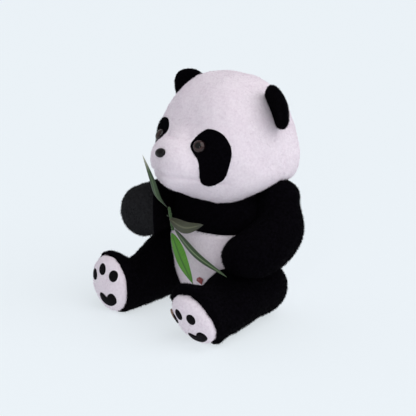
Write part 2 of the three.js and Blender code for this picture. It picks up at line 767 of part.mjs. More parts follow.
function buildLeg(name, leg) {
  const group = new THREE.Group();
  group.position.set(leg.hip[0], leg.hip[1], 0);
  group.rotation.z = radians(leg.yaw);
  const cover = legForm(leg, 0, 0, 18, 11).subtract(legForm(leg, skin, 1, 14, 9));
  const [outward, inward] = leg.hip[0] > 0 ? [above(0), below(0)] : [below(0), above(0)];
  group.add(mesh(`leg_${name}_outer`, toGeometry(cover.intersect(region({ x: outward }))), blackPlush()));
  group.add(mesh(`leg_${name}_inner`, toGeometry(cover.intersect(region({ x: inward }))), blackPlush()));
  const core = legForm(leg, skin + fillGap, 0, 14, 9);
  group.add(mesh(`leg_${name}_filling`, toGeometry(core), filling()));

  const frame = soleFrame(leg, sole.flatGap);
  frame.add(mesh(`sole_${name}`, soleBody(), whitePlush()));
  const toeNames = ['toe_pad_inner', 'toe_pad_middle', 'toe_pad_outer'];
  for (const [index, place] of pads.toes.entries()) {
    const side = Math.sign(leg.hip[0]);
    const spot = [place[0] * side + leg.toeShift[0], place[1] + leg.toeShift[1]];
    frame.add(mesh(`${toeNames[index]}_${name}`, padBody(spot, pads.toeSize), blackPlush()));
  }
  const heelSpot = [pads.heel[0] + leg.heelShift[0], pads.heel[1] + leg.heelShift[1]];
  frame.add(mesh(`heel_pad_${name}`, padBody(heelSpot, pads.heelSize, pads.heelNotch), blackPlush()));
  if (name === 'left') {
    const loop = mesh('sole_loop', loopBody(), material(colours.loop, 0.8));
    const angle = radians(soleLoop.angle);
    const out = seamGap;
    loop.position.set((sole.halfWidth + out) * Math.cos(angle), (sole.halfHeight + out) * Math.sin(angle), 3);
    loop.rotation.set(0, 0, angle);
    frame.add(loop);
  }
  group.add(frame);
  return group;
}

// ---------- bamboo sprig ----------

// A flat cloth leaf: pointed at both ends and widest just before its middle
function leafBody(spine, width) {
  const curve = new THREE.CatmullRomCurve3(spine.map(vec));
  const steps = 10;
  const rings = [[curve.getPointAt(0)]];
  for (let i = 1; i < steps; i += 1) {
    const t = i / steps;
    const tangent = curve.getTangentAt(t);
    const centre = curve.getPointAt(t);
    const side = new THREE.Vector3().crossVectors(tangent, new THREE.Vector3(0.35, -0.9, 0.25)).normalize();
    const face = new THREE.Vector3().crossVectors(side, tangent);
    const half = (width / 2) * Math.sin(Math.PI * t ** 0.8) ** 0.8;
    const edge = leafThickness * 0.3;
    const rise = leafThickness * 0.5;
    const corner = (across, out) => centre.clone().addScaledVector(side, across).addScaledVector(face, out);
    rings.push([corner(half, -edge), corner(half, edge), corner(0, rise),
      corner(-half, edge), corner(-half, -edge), corner(0, -rise)]);
  }
  rings.push([curve.getPointAt(1)]);
  return ringBody(rings);
}

function rod(from, to, radius, segments = 10) {
  const start = vec(from);
  const end = vec(to);
  const section = new THREE.Shape();
  section.absarc(0, 0, radius, 0, 2 * Math.PI);
  const path = new THREE.LineCurve3(start, end);
  return new THREE.ExtrudeGeometry(section, {
    extrudePath: path, steps: 1, bevelEnabled: false, curveSegments: segments,
  });
}

function buildSprig() {
  const group = new THREE.Group();
  group.add(mesh('bamboo_stem', rod(stem.foot, stem.head, stem.radius), material(colours.leafDark, 0.8)));
  const tints = {
    leaf_upper: colours.leafDark,
    leaf_side: colours.leafOlive,
    leaf_front: colours.leafBright,
    leaf_long: colours.leafDark,
  };
  for (const [name, leaf] of Object.entries(leaves)) {
    group.add(mesh(name, leafBody(leaf.spine, leaf.width), material(tints[name], 0.8)));
  }
  return group;
}

// The thread that holds the stem to the right paw
function buildStitch() {
  const share = (stitch.height - stem.foot[2]) / (stem.head[2] - stem.foot[2]);
  const atStem = vec(stem.foot).lerp(vec(stem.head), share);
  const end = [atStem.x - stem.radius - 2 * seamGap, atStem.y, atStem.z];
  const start = [end[0] - 4, end[1], end[2]];
  return mesh('sprig_stitch', rod(start, end, stitch.radius, 6), material(colours.thread, 0.8));
}

// ---------- the whole toy ----------

const panda = new THREE.Group();
panda.add(buildTorso());
panda.add(buildNeck());
panda.add(buildHead());
panda.add(buildTail());
panda.add(buildArm('left', arms.left));
panda.add(buildArm('right', arms.right));
panda.add(buildLeg('left', legs.left));
panda.add(buildLeg('right', legs.right));
panda.add(buildSprig());
panda.add(buildStitch());

export default panda;
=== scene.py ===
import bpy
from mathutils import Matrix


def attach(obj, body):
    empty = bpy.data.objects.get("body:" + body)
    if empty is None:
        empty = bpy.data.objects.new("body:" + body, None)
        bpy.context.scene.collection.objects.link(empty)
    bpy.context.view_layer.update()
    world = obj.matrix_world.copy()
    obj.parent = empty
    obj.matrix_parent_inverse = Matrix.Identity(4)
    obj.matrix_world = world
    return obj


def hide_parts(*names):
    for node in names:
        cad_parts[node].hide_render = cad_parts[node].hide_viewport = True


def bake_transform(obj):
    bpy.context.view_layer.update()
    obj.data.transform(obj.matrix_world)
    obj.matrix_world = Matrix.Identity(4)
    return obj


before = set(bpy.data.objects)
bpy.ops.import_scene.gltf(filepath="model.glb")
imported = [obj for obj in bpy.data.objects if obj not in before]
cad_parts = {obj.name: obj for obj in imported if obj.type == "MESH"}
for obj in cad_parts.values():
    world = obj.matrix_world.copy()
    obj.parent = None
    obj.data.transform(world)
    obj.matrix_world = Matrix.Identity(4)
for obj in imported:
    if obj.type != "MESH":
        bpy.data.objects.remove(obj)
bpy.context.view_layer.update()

import math

import bpy
import bmesh
import numpy as np
from mathutils import Vector
from mathutils.bvhtree import BVHTree

# A sitting plush panda with a sprig of cloth bamboo. Shapes are worked out in millimetres, with +Z up,
# the panda facing -Y and its left side at +X, and go into the meshes in metres.
mm = 0.001


# ---------- small helpers ----------

def linearColour(hexCode, alpha=1.0):
    # sRGB hex to the linear values that shaders take
    channels = [int(hexCode[i:i + 2], 16) / 255 for i in (1, 3, 5)]
    return [c / 12.92 if c <= 0.04045 else ((c + 0.055) / 1.055) ** 2.4 for c in channels] + [alpha]


def addNode(tree, kind, settings=None, links=None, **attributes):
    # settings and links name input sockets, or number them where two share a name
    node = tree.nodes.new(kind)
    for name, value in attributes.items():
        setattr(node, name, value)
    for name, value in (settings or {}).items():
        node.inputs[name].default_value = value
    for name, socket in (links or {}).items():
        tree.links.new(socket, node.inputs[name])
    return node


def smooth(x, low, high):
    t = np.clip((x - low) / (high - low), 0.0, 1.0)
    return t * t * (3 - 2 * t)


def ripple(points, wavelength, seed):
    # smooth soft-toy unevenness between -1 and 1: a few plane waves in seeded directions
    waves, evening = 7, 3.2
    rng = np.random.default_rng(seed)
    total = np.zeros(len(points))
    for _ in range(waves):
        way = rng.normal(size=3)
        way /= np.linalg.norm(way)
        pitch = 2 * math.pi / (wavelength * rng.uniform(0.7, 1.5))
        total += np.sin(points @ way * pitch + rng.uniform(0, 6.3))
    return total / evening


def linkObject(name, data):
    obj = bpy.data.objects.new(name, data)
    bpy.context.scene.collection.objects.link(obj)
    return obj


def shadeSmooth(mesh):
    mesh.polygons.foreach_set("use_smooth", [True] * len(mesh.polygons))


def newMesh(name, points, faces, material=None):
    mesh = bpy.data.meshes.new(name)
    mesh.from_pydata([tuple(p) for p in np.asarray(points, float) * mm], [], [tuple(f) for f in faces])
    mesh.update()
    obj = linkObject(name, mesh)
    shadeSmooth(mesh)
    faceOutwards(mesh)
    if material:
        mesh.materials.append(material)
    return obj


def faceOutwards(mesh):
    work = bmesh.new()
    work.from_mesh(mesh)
    bmesh.ops.remove_doubles(work, verts=work.verts, dist=1e-7)
    bmesh.ops.recalc_face_normals(work, faces=work.faces)
    work.to_mesh(mesh)
    work.free()


def heading(azimuth, elevation):
    # unit direction by compass angle, 0 ahead and positive to the panda's left, and elevation
    a, e = np.radians(azimuth), np.radians(elevation)
    return np.stack([np.sin(a) * np.cos(e), -np.cos(a) * np.cos(e), np.sin(e) + 0 * a], -1)


def cubeSphere(steps):
    # evenly spread unit directions and quads, from a cube's six gridded sides
    line = np.tan(np.linspace(-math.pi / 4, math.pi / 4, steps + 1))
    u, v = np.meshgrid(line, line)
    one = np.ones_like(u)
    sides = [(one, u, v), (-one, -u, v), (-u, one, v), (u, -one, v), (u, v, one), (-u, v, -one)]
    points, faces = [], []
    for side in sides:
        base = len(points) * (steps + 1) ** 2
        points.append(np.stack([c.ravel() for c in side], -1))
        for i in range(steps):
            for j in range(steps):
                a = base + i * (steps + 1) + j
                faces.append((a, a + 1, a + steps + 2, a + steps + 1))
    points = np.concatenate(points)
    points /= np.linalg.norm(points, axis=1)[:, None]
    _, first, where = np.unique(np.round(points, 6), axis=0, return_index=True, return_inverse=True)
    where = where.ravel()
    return points[first], [tuple(where[list(f)]) for f in faces]


def ringFaces(rings, around):
    # quads through equal closed rings, with a point before the first and one after the last
    faces = [(0, 1 + j, 1 + (j + 1) % around) for j in range(around)]
    for i in range(rings - 1):
        a = 1 + i * around
        for j in range(around):
            k = (j + 1) % around
            faces.append((a + j, a + around + j, a + around + k, a + k))
    last = 1 + (rings - 1) * around
    end = last + around
    faces += [(last + (j + 1) % around, last + j, end) for j in range(around)]
    return faces


def smoothLine(points, t):
    # a curve through the points, uniform in its steps, read at shares t from 0 to 1
    pts = np.asarray(points, float)
    spans = len(pts) - 1
    x = np.asarray(t, float) * spans
    i = np.clip(np.floor(x).astype(int), 0, spans - 1)
    u = (x - i)[:, None]
    before = np.where((i == 0)[:, None], 2 * pts[0] - pts[1], pts[np.maximum(i - 1, 0)])
    after = np.where((i == spans - 1)[:, None], 2 * pts[-1] - pts[-2], pts[np.minimum(i + 2, spans)])
    a, b = pts[i], pts[i + 1]
    return 0.5 * (2 * a + (b - before) * u + (2 * before - 5 * a + 4 * b - after) * u ** 2
                  + (3 * a - before - 3 * b + after) * u ** 3)


def takeResult(obj):
    # the modifiers' result becomes the mesh
    evaluated = obj.evaluated_get(bpy.context.evaluated_depsgraph_get())
    mesh = bpy.data.meshes.new_from_object(evaluated)
    obj.modifiers.clear()
    obj.data = mesh
    shadeSmooth(mesh)


def readPoints(mesh):
    flat = np.empty(len(mesh.vertices) * 3, np.float32)
    mesh.vertices.foreach_get("co", flat)
    return flat.reshape(-1, 3).astype(float) / mm


def readNormals(mesh):
    flat = np.empty(len(mesh.vertices) * 3, np.float32)
    mesh.vertex_normals.foreach_get("vector", flat)
    return flat.reshape(-1, 3).astype(float)


def writePoints(mesh, points):
    mesh.vertices.foreach_set("co", (np.asarray(points) * mm).astype(np.float32).ravel())
    mesh.update()


stuffing = {
    "voxel": 5.0, "pressure": 4.0, "frames": 20, "cap": 2.6, "seamShrink": 0.22, "levels": 2,
    "lumps": 0.7, "seed": 1, "broadLump": 44, "fineLump": 15, "fineShare": 0.35,
}
pileCloth = {
    "quality": 6, "mass": 0.2, "tension_stiffness": 18, "compression_stiffness": 10, "shear_stiffness": 8,
    "bending_stiffness": 0.3,
}
furthestShare = 96  # percentile of the cloth's own moves that is brought down to the cap


def inflate(obj, seams, cap):
    # fibre pressed in under air pressure, with the cloth gathered a little along its seams
    rest = readPoints(obj.data)
    outward = readNormals(obj.data)
    group = obj.vertex_groups.new(name="seams")
    for index, share in enumerate(np.clip(seams(rest), 0, 1)):
        group.add([index], float(share), "REPLACE")
    cloth = obj.modifiers.new("stuffing", "CLOTH")
    cloth.point_cache.frame_start, cloth.point_cache.frame_end = 1, stuffing["frames"]
    fabric = cloth.settings
    for key, value in pileCloth.items():
        setattr(fabric, key, value)
    fabric.use_pressure = True
    fabric.uniform_pressure_force = stuffing["pressure"]
    fabric.effector_weights.gravity = 0
    fabric.vertex_group_shrink = "seams"
    fabric.shrink_max = stuffing["seamShrink"]
    for step in range(1, stuffing["frames"] + 1):
        bpy.context.scene.frame_set(step)
    evaluated = obj.evaluated_get(bpy.context.evaluated_depsgraph_get())
    moved = readPoints(evaluated.data)
    obj.modifiers.remove(cloth)
    obj.vertex_groups.clear()
    bpy.context.scene.frame_set(1)
    shift = moved - rest
    shift -= outward * np.mean(np.sum(shift * outward, axis=1))  # it swells in places, and keeps its size
    length = np.linalg.norm(shift, axis=1)
    shift *= (cap / np.maximum(np.maximum(length, cap), np.percentile(length, furthestShare)))[:, None]
    writePoints(obj.data, rest + shift)
    print("stuffed", obj.name, len(rest), "moved up to %.1f mm" % np.linalg.norm(shift, axis=1).max())


def stuff(name, points, faces, seams, floorAt=None, **change):
    # a sewn form: woven evenly, inflated, smoothed, then drawn in along its seams by seams(points) in mm
    spec = {**stuffing, **change}
    obj = newMesh(name, points, faces)
    weave = obj.modifiers.new("weave", "REMESH")
    weave.mode = "VOXEL"
    weave.voxel_size = spec["voxel"] * mm
    takeResult(obj)
    inflate(obj, seams, spec["cap"])
    finer = obj.modifiers.new("finer", "SUBSURF")
    finer.levels = finer.render_levels = spec["levels"]
    takeResult(obj)
    p, outward = readPoints(obj.data), readNormals(obj.data)
    broad = ripple(p, spec["broadLump"], spec["seed"]) * spec["lumps"]
    fine = ripple(p, spec["fineLump"], spec["seed"] + 1) * spec["lumps"] * spec["fineShare"]
    p = p + outward * (broad + fine - seams(p))[:, None]
    if floorAt is not None:
        p[:, 2] = np.maximum(p[:, 2], floorAt)
    writePoints(obj.data, p)
    return obj


def copyPiece(obj, name, material):
    piece = linkObject(name, obj.data.copy())
    piece.data.materials.clear()
    piece.data.materials.append(material)
    return piece


def cutPiece(obj, name, point, normal, keepAhead, material):
    # the part of a closed form on one side of a plane, closed again by a cap
    piece = copyPiece(obj, name, material)
    work = bmesh.new()
    work.from_mesh(piece.data)
    cut = bmesh.ops.bisect_plane(work, geom=work.verts[:] + work.edges[:] + work.faces[:],
                                 plane_co=Vector(point) * mm, plane_no=normal,
                                 clear_outer=not keepAhead, clear_inner=keepAhead)
    rim = [e for e in cut["geom_cut"] if isinstance(e, bmesh.types.BMEdge)]
    bmesh.ops.triangle_fill(work, use_beauty=True, edges=rim)
    bmesh.ops.recalc_face_normals(work, faces=work.faces)
    work.to_mesh(piece.data)
    work.free()
    return piece


def skinFinder(obj):
    # finds where a line from inside meets the finished skin
    tree = BVHTree.FromObject(obj, bpy.context.evaluated_depsgraph_get())

    def find(origins, ways, lift):
        found = []
        for origin, way in zip(origins, ways):
            hit = tree.ray_cast(Vector(origin) * mm, Vector(way))[0]
            found.append(np.array(hit) / mm if hit else np.asarray(origin, float))
        return np.array(found) + np.asarray(ways) * (np.zeros(len(ways)) + lift)[:, None]

    return find


# ---------- camera, light and floor ----------

view = {
    "azimuth": 50, "elevation": 17.4, "distance": 1174, "aim": (-12.5, -15, 114), "lens": 90.7, "sensor": 36,
    "nearest": 0.05,
}
back = Vector(heading(view["azimuth"], view["elevation"]))
cameraData = bpy.data.cameras.new("camera")
cameraData.lens = view["lens"]
cameraData.sensor_width = view["sensor"]
cameraData.clip_start = view["nearest"]
camera = linkObject("camera", cameraData)
camera.location = (Vector(view["aim"]) + back * view["distance"]) * mm
camera.rotation_mode = "QUATERNION"
camera.rotation_quaternion = (-back).to_track_quat("-Z", "Y")
bpy.context.scene.camera = camera
bpy.context.scene.view_settings.view_transform = "Standard"

studio = {
    "sky": "#f6f9fc", "skyStrength": 0.5, "floor": "#8f9498", "floorGlow": "#edf3f7",
    "floorGlowStrength": 0.7, "floorSize": 16.0, "floorDrop": 0.0002, "sunFrom": (0.62, 0.18, 0.74),
    "sunStrength": 1.65, "sunAngle": 70,
    "softboxAt": (0.95, -1.15, 0.75), "softboxAim": (0, 0, 0.2), "softboxStrength": 1.6, "softboxSize": 0.1,
}
world = bpy.data.worlds.new("studio")
world.use_nodes = True
bpy.context.scene.world = world
sky = world.node_tree.nodes["Background"]
sky.inputs["Color"].default_value = linearColour(studio["sky"])
sky.inputs["Strength"].default_value = studio["skyStrength"]


def placeLight(name, kind, place, aim, **settings):
    light = bpy.data.lights.new(name, kind)
    for key, value in settings.items():
        setattr(light, key, value)
    obj = linkObject(name, light)
    obj.location = place
    obj.rotation_mode = "QUATERNION"
    obj.rotation_quaternion = (Vector(aim) - Vector(place)).to_track_quat("-Z", "Y")


placeLight("overheadPanel", "SUN", studio["sunFrom"], (0, 0, 0), energy=studio["sunStrength"],
           angle=math.radians(studio["sunAngle"]))
placeLight("frontSoftbox", "AREA", studio["softboxAt"], studio["softboxAim"],
           energy=studio["softboxStrength"], size=studio["softboxSize"])

floorHalf = studio["floorSize"] / 2 / mm
floor = newMesh("floor", [(-floorHalf, -floorHalf, 0), (floorHalf, -floorHalf, 0), (floorHalf, floorHalf, 0),
                          (-floorHalf, floorHalf, 0)], [(0, 1, 2, 3)])
floor.location.z = -studio["floorDrop"]  # just under the seat
paper = bpy.data.materials.new("paperSweep")
paper.use_nodes = True
for name, value in (("Base Color", linearColour(studio["floor"])), ("Roughness", 0.95),
                    ("Specular IOR Level", 0.0), ("Emission Color", linearColour(studio["floorGlow"])),
                    ("Emission Strength", studio["floorGlowStrength"])):
    paper.node_tree.nodes["Principled BSDF"].inputs[name].default_value = value
floor.data.materials.append(paper)
print("camera, light and floor are in place")


# ---------- materials ----------

def newMaterial(name, **values):
    mat = bpy.data.materials.new(name)
    mat.use_nodes = True
    shader = mat.node_tree.nodes["Principled BSDF"]
    for socket, value in values.items():
        shader.inputs[socket].default_value = value
    return mat, mat.node_tree, shader


def addBump(tree, shader, height, strength, distance):
    bump = addNode(tree, "ShaderNodeBump", {"Strength": strength, "Distance": distance * mm},
                   {"Height": height})
    tree.links.new(bump.outputs["Normal"], shader.inputs["Normal"])


def addNoise(tree, place, size, detail, **more):
    # unevenness of a size in millimetres
    return addNode(tree, "ShaderNodeTexNoise", {"Scale": 1 / (size * mm), "Detail": detail, **more},
                   {"Vector": place}).outputs["Fac"]


def plushMaterial(name, look):
    # short polyester pile in small tufts, with painted shade in the gaps between them, and a soft sheen at its
    # edge
    mat, tree, shader = newMaterial(name, **{
        "Roughness": look["roughness"], "Specular IOR Level": look.get("shine", 0.1),
        "Sheen Weight": look["sheen"], "Sheen Roughness": 0.45,
        "Sheen Tint": linearColour(look["sheenTint"])})
    place = addNode(tree, "ShaderNodeTexCoord").outputs["Object"]
    tuft = addNoise(tree, place, look["tuft"], 3, Roughness=0.6)
    patchy = addNoise(tree, place, 26, 2)
    strand = addNoise(tree, place, look["strand"], 2)
    # painted shade: the colour runs from the tip colour to a darker one in the low gaps between tufts
    ramp = addNode(tree, "ShaderNodeValToRGB", {}, {"Fac": tuft})
    for stop, position, colour in zip(ramp.color_ramp.elements, (0.34, 0.6), (look["gap"], look["tip"])):
        stop.position = position
        stop.color = linearColour(colour)
    shade = addNode(tree, "ShaderNodeMix", {"B": linearColour(look["worn"])},
                    {"Factor": patchy, "A": ramp.outputs["Color"]}, data_type="RGBA", blend_type="MULTIPLY")
    tree.links.new(shade.outputs["Result"], shader.inputs["Base Color"])
    strandShare = addNode(tree, "ShaderNodeMath", {1: 0.45}, {0: strand}, operation="MULTIPLY")
    height = addNode(tree, "ShaderNodeMath", {}, {0: tuft, 1: strandShare.outputs[0]}, operation="ADD")
    addBump(tree, shader, height.outputs[0], look["bump"], 1.2)
    return mat


# each plush's gap colour is painted shade, down in the pile between its tufts
whitePlush = plushMaterial("whitePolyesterPlush", {
    "tip": "#f2eaf0", "gap": "#eae1e8", "worn": "#f6f1f5", "roughness": 0.95, "sheen": 0.2,
    "sheenTint": "#ffffff", "tuft": 2.6, "strand": 0.8, "bump": 0.16})
blackPlush = plushMaterial("blackPolyesterPlush", {
    "tip": "#08060b", "gap": "#030204", "worn": "#dcd8e4", "roughness": 0.95, "sheen": 0.0,
    "sheenTint": "#8f7fa8", "tuft": 2.6, "strand": 0.7, "bump": 0.4, "shine": 0.03})
charcoalPlush = plushMaterial("charcoalPolyesterPlush", {
    "tip": "#262628", "gap": "#1a1a1c", "worn": "#e8e6ea", "roughness": 0.95, "sheen": 0.04,
    "sheenTint": "#9a97a0", "tuft": 2.4, "strand": 0.7, "bump": 0.35})
padPlush = plushMaterial("blackBrushedPadCloth", {
    "tip": "#0f0c10", "gap": "#060507", "worn": "#e0dbe2", "roughness": 0.9, "sheen": 0.05,
    "sheenTint": "#8f88a8", "tuft": 1.6, "strand": 0.5, "bump": 0.35})


def plasticMaterial(name, look):
    # moulded acrylic or ABS: mirror-like coat over the colour, with a trace of mould unevenness
    mat, tree, shader = newMaterial(name, **{
        "Roughness": look["roughness"], "Specular IOR Level": look["shine"]})
    place = addNode(tree, "ShaderNodeTexCoord").outputs["Object"]
    if "pupil" in look:
        centred = addNode(tree, "ShaderNodeVectorMath", {1: tuple(look["centre"])}, {0: place},
                          operation="SUBTRACT")
        reach = addNode(tree, "ShaderNodeVectorMath", {}, {0: centred.outputs["Vector"]}, operation="LENGTH")
        ramp = addNode(tree, "ShaderNodeValToRGB")
        share = addNode(tree, "ShaderNodeMath", {1: look["radius"]}, {0: reach.outputs["Value"]},
                        operation="DIVIDE")
        tree.links.new(share.outputs[0], ramp.inputs["Fac"])
        stops = ramp.color_ramp.elements
        stops[0].position = look["pupil"]
        stops[0].color = linearColour("#050304")
        stops[1].position = look["pupil"] + 0.06
        stops[1].color = linearColour(look["iris"])
        rim = stops.new(0.93)
        rim.color = linearColour(look["rim"])
        tree.links.new(ramp.outputs["Color"], shader.inputs["Base Color"])
    else:
        cloud = addNode(tree, "ShaderNodeTexNoise", {"Scale": 900, "Detail": 2}, {"Vector": place})
        shade = addNode(tree, "ShaderNodeMix",
                        {"A": linearColour(look["colour"]), "B": linearColour(look["worn"])},
                        {"Factor": cloud.outputs["Fac"]}, data_type="RGBA")
        tree.links.new(shade.outputs["Result"], shader.inputs["Base Color"])
    mould = addNode(tree, "ShaderNodeTexNoise", {"Scale": 350, "Detail": 1}, {"Vector": place})
    addBump(tree, shader, mould.outputs["Fac"], 0.04, 0.3)
    return mat


def leafMaterial(name, look):
    # printed satin cloth: fine veins along the leaf, a pale midrib and a soft shine across the weave
    mat, tree, shader = newMaterial(name, **{"Roughness": 0.55, "Sheen Weight": 0.2, "Sheen Roughness": 0.4})
    uv = addNode(tree, "ShaderNodeUVMap", uv_map="leaf").outputs["UV"]
    parts = addNode(tree, "ShaderNodeSeparateXYZ", {}, {"Vector": uv})
    across = parts.outputs["Y"]
    veins = addNode(tree, "ShaderNodeMath", {1: look["veins"] * math.pi}, {0: across}, operation="MULTIPLY")
    wave = addNode(tree, "ShaderNodeMath", {}, {0: veins.outputs[0]}, operation="SINE")
    middle = addNode(tree, "ShaderNodeMath", {1: 0.5}, {0: across}, operation="SUBTRACT")
    away = addNode(tree, "ShaderNodeMath", {}, {0: middle.outputs[0]}, operation="ABSOLUTE")
    rib = addNode(tree, "ShaderNodeMapRange",
                  {"From Min": 0.02, "From Max": 0.1, "To Min": 1.0, "To Max": 0.0},
                  {"Value": away.outputs[0]})
    base = addNode(tree, "ShaderNodeValToRGB")
    level = addNode(tree, "ShaderNodeMapRange", {"From Min": -1.0, "From Max": 1.0},
                    {"Value": wave.outputs[0]})
    tree.links.new(level.outputs["Result"], base.inputs["Fac"])
    base.color_ramp.elements[0].color = linearColour(look["dark"])
    base.color_ramp.elements[1].color = linearColour(look["light"])
    place = addNode(tree, "ShaderNodeTexCoord").outputs["Object"]
    mottled = addNode(tree, "ShaderNodeMix", {"B": linearColour(look["mottle"])},
                      {"Factor": addNoise(tree, place, 9, 3), "A": base.outputs["Color"]},
                      data_type="RGBA", blend_type="MULTIPLY")
    ribbed = addNode(tree, "ShaderNodeMix", {"B": linearColour(look["rib"])},
                     {"Factor": rib.outputs["Result"], "A": mottled.outputs["Result"]}, data_type="RGBA")
    tipFade = addNode(tree, "ShaderNodeMapRange", {"From Min": look["fade"], "From Max": 1.0},
                      {"Value": parts.outputs["X"]})
    tipped = addNode(tree, "ShaderNodeMix", {"B": linearColour(look["tip"])},
                     {"Factor": tipFade.outputs["Result"], "A": ribbed.outputs["Result"]}, data_type="RGBA")
    tree.links.new(tipped.outputs["Result"], shader.inputs["Base Color"])
    weave = addNoise(tree, place, 0.6, 1)
    high = addNode(tree, "ShaderNodeMath", {}, {0: wave.outputs[0], 1: weave}, operation="ADD")
    addBump(tree, shader, high.outputs[0], 0.3, 0.3)
    return mat


def tapeMaterial(name, light, dark):
    # narrow woven tape: crosswise ribs about 0.8 mm apart
    mat, tree, shader = newMaterial(name, **{"Roughness": 0.8, "Sheen Weight": 0.2})
    place = addNode(tree, "ShaderNodeTexCoord").outputs["Object"]
    rows = addNode(tree, "ShaderNodeTexWave", {"Scale": 1 / (2.5 * mm), "Distortion": 0.6}, {"Vector": place})
    shade = addNode(tree, "ShaderNodeMix", {"A": linearColour(dark), "B": linearColour(light)},
                    {"Factor": rows.outputs["Fac"]}, data_type="RGBA")
    tree.links.new(shade.outputs["Result"], shader.inputs["Base Color"])
    addBump(tree, shader, rows.outputs["Fac"], 0.4, 0.3)
    return mat


print("materials are made")


# ---------- pile fibres ----------

def pileTree(material):
    # scatters fine three-sided fibres over a surface, leaning down and a little every way
    tree = bpy.data.node_groups.new("pile_" + material.name, "GeometryNodeTree")
    tree.is_modifier = True
    face = tree.interface
    face.new_socket("Surface", in_out="INPUT", socket_type="NodeSocketGeometry")
    face.new_socket("Fibres", in_out="OUTPUT", socket_type="NodeSocketGeometry")
    for name, value in (("Density", 4e5), ("Length", 0.0022), ("Thickness", 0.0002), ("Lean", 0.7),
                        ("Scatter", 0.45)):
        face.new_socket(name, in_out="INPUT", socket_type="NodeSocketFloat").default_value = value
    face.new_socket("Seed", in_out="INPUT", socket_type="NodeSocketInt").default_value = 1
    given = addNode(tree, "NodeGroupInput").outputs
    cover = addNode(tree, "GeometryNodeInputNamedAttribute", {"Name": "cover"}, data_type="FLOAT")
    dense = addNode(tree, "ShaderNodeMath", {}, {0: cover.outputs["Attribute"], 1: given["Density"]},
                    operation="MULTIPLY")
    points = addNode(tree, "GeometryNodeDistributePointsOnFaces", {},
                     {"Mesh": given["Surface"], "Density": dense.outputs[0], "Seed": given["Seed"]})
    spread = addNode(tree, "FunctionNodeRandomValue", {0: (-1, -1, -1), 1: (1, 1, 1)},
                     {"Seed": given["Seed"]}, data_type="FLOAT_VECTOR")
    wild = addNode(tree, "ShaderNodeVectorMath", {}, {0: spread.outputs[0], "Scale": given["Scatter"]},
                   operation="SCALE")
    fall = addNode(tree, "ShaderNodeVectorMath", {0: (0, 0, -1)}, {"Scale": given["Lean"]}, operation="SCALE")
    nap = addNode(tree, "ShaderNodeVectorMath", {}, {0: wild.outputs[0], 1: fall.outputs[0]}, operation="ADD")
    way = addNode(tree, "ShaderNodeVectorMath", {}, {0: points.outputs["Normal"], 1: nap.outputs[0]},
                  operation="ADD")
    turn = addNode(tree, "FunctionNodeAlignRotationToVector", {}, {"Vector": way.outputs[0]}, axis="Z")
    fibre = addNode(tree, "GeometryNodeMeshCone", {"Vertices": 3, "Radius Top": 0.0},
                    {"Radius Bottom": given["Thickness"], "Depth": given["Length"]})
    size = addNode(tree, "FunctionNodeRandomValue", {2: 0.6, 3: 1.15}, {"Seed": given["Seed"]},
                   data_type="FLOAT")
    many = addNode(tree, "GeometryNodeInstanceOnPoints", {},
                   {"Points": points.outputs["Points"], "Instance": fibre.outputs["Mesh"],
                    "Rotation": turn.outputs["Rotation"], "Scale": size.outputs[1]})
    real = addNode(tree, "GeometryNodeRealizeInstances", {}, {"Geometry": many.outputs["Instances"]})
    painted = addNode(tree, "GeometryNodeSetMaterial", {"Material": material},
                      {"Geometry": real.outputs["Geometry"]})
    addNode(tree, "NodeGroupOutput", {}, {"Fibres": painted.outputs["Geometry"]})
    return tree


pileTrees = {}
pileAboveFloor = (2.0, 5.0)  # heights where the pile starts and where it is full


def growPile(surface, name, material, settings, covered=None):
    # fibres on a finished surface, as a plain mesh of their own; none where it lies on the floor
    p = readPoints(surface.data)
    share = smooth(p[:, 2], *pileAboveFloor)
    if covered is not None:
        share = share * covered(p)
    layer = surface.data.attributes.new("cover", "FLOAT", "POINT")
    layer.data.foreach_set("value", share.astype(np.float32))
    if material.name not in pileTrees:
        pileTrees[material.name] = pileTree(material)
    tree = pileTrees[material.name]
    modifier = surface.modifiers.new("pile", "NODES")
    modifier.node_group = tree
    sockets = {item.name: item.identifier for item in tree.interface.items_tree if item.in_out == "INPUT"}
    for key, value in settings.items():
        modifier[sockets[key]] = value
    evaluated = surface.evaluated_get(bpy.context.evaluated_depsgraph_get())
    mesh = bpy.data.meshes.new_from_object(evaluated)
    mesh.name = name
    surface.modifiers.remove(modifier)
    surface.data.attributes.remove(surface.data.attributes["cover"])
    return linkObject(name, mesh)


pile = {
    "head": {"Density": 6.0e5, "Length": 0.0016, "Seed": 3},
    "body": {"Density": 5.0e5, "Seed": 5},
    "limb": {"Density": 5.0e5, "Seed": 7},
    "small": {"Density": 6.0e5, "Length": 0.0018, "Seed": 9},
}


# ---------- head ----------

head = {
    "centre": np.array([0, 4, 172.0]), "halfWidth": 75, "front": 66, "back": 68, "up": 96, "downFront": 50.5,
    "downBack": 30, "planPower": 2.6, "topPower": 2.15, "basePower": 2.5,
    "muzzleRise": 31.5, "muzzleSpread": 23, "muzzlePower": 3.4, "muzzleLift": 4, "seamY": 15,
    "browRise": 5.5, "browAzimuth": 36, "browElevation": 15, "browSpread": 24,
    "chinDrop": 10, "chinSlope": 9.5, "chinBack": -48, "neckZ": 128,
}
# width of the drawn-in groove and its depth along each line of stitches
headStitch = {
    "crown": (2.6, 1.1), "middle": (2.4, 1.0), "chin": (2.2, 1.6), "dart": (2.0, 1.2), "brow": (2.0, 1.5),
}


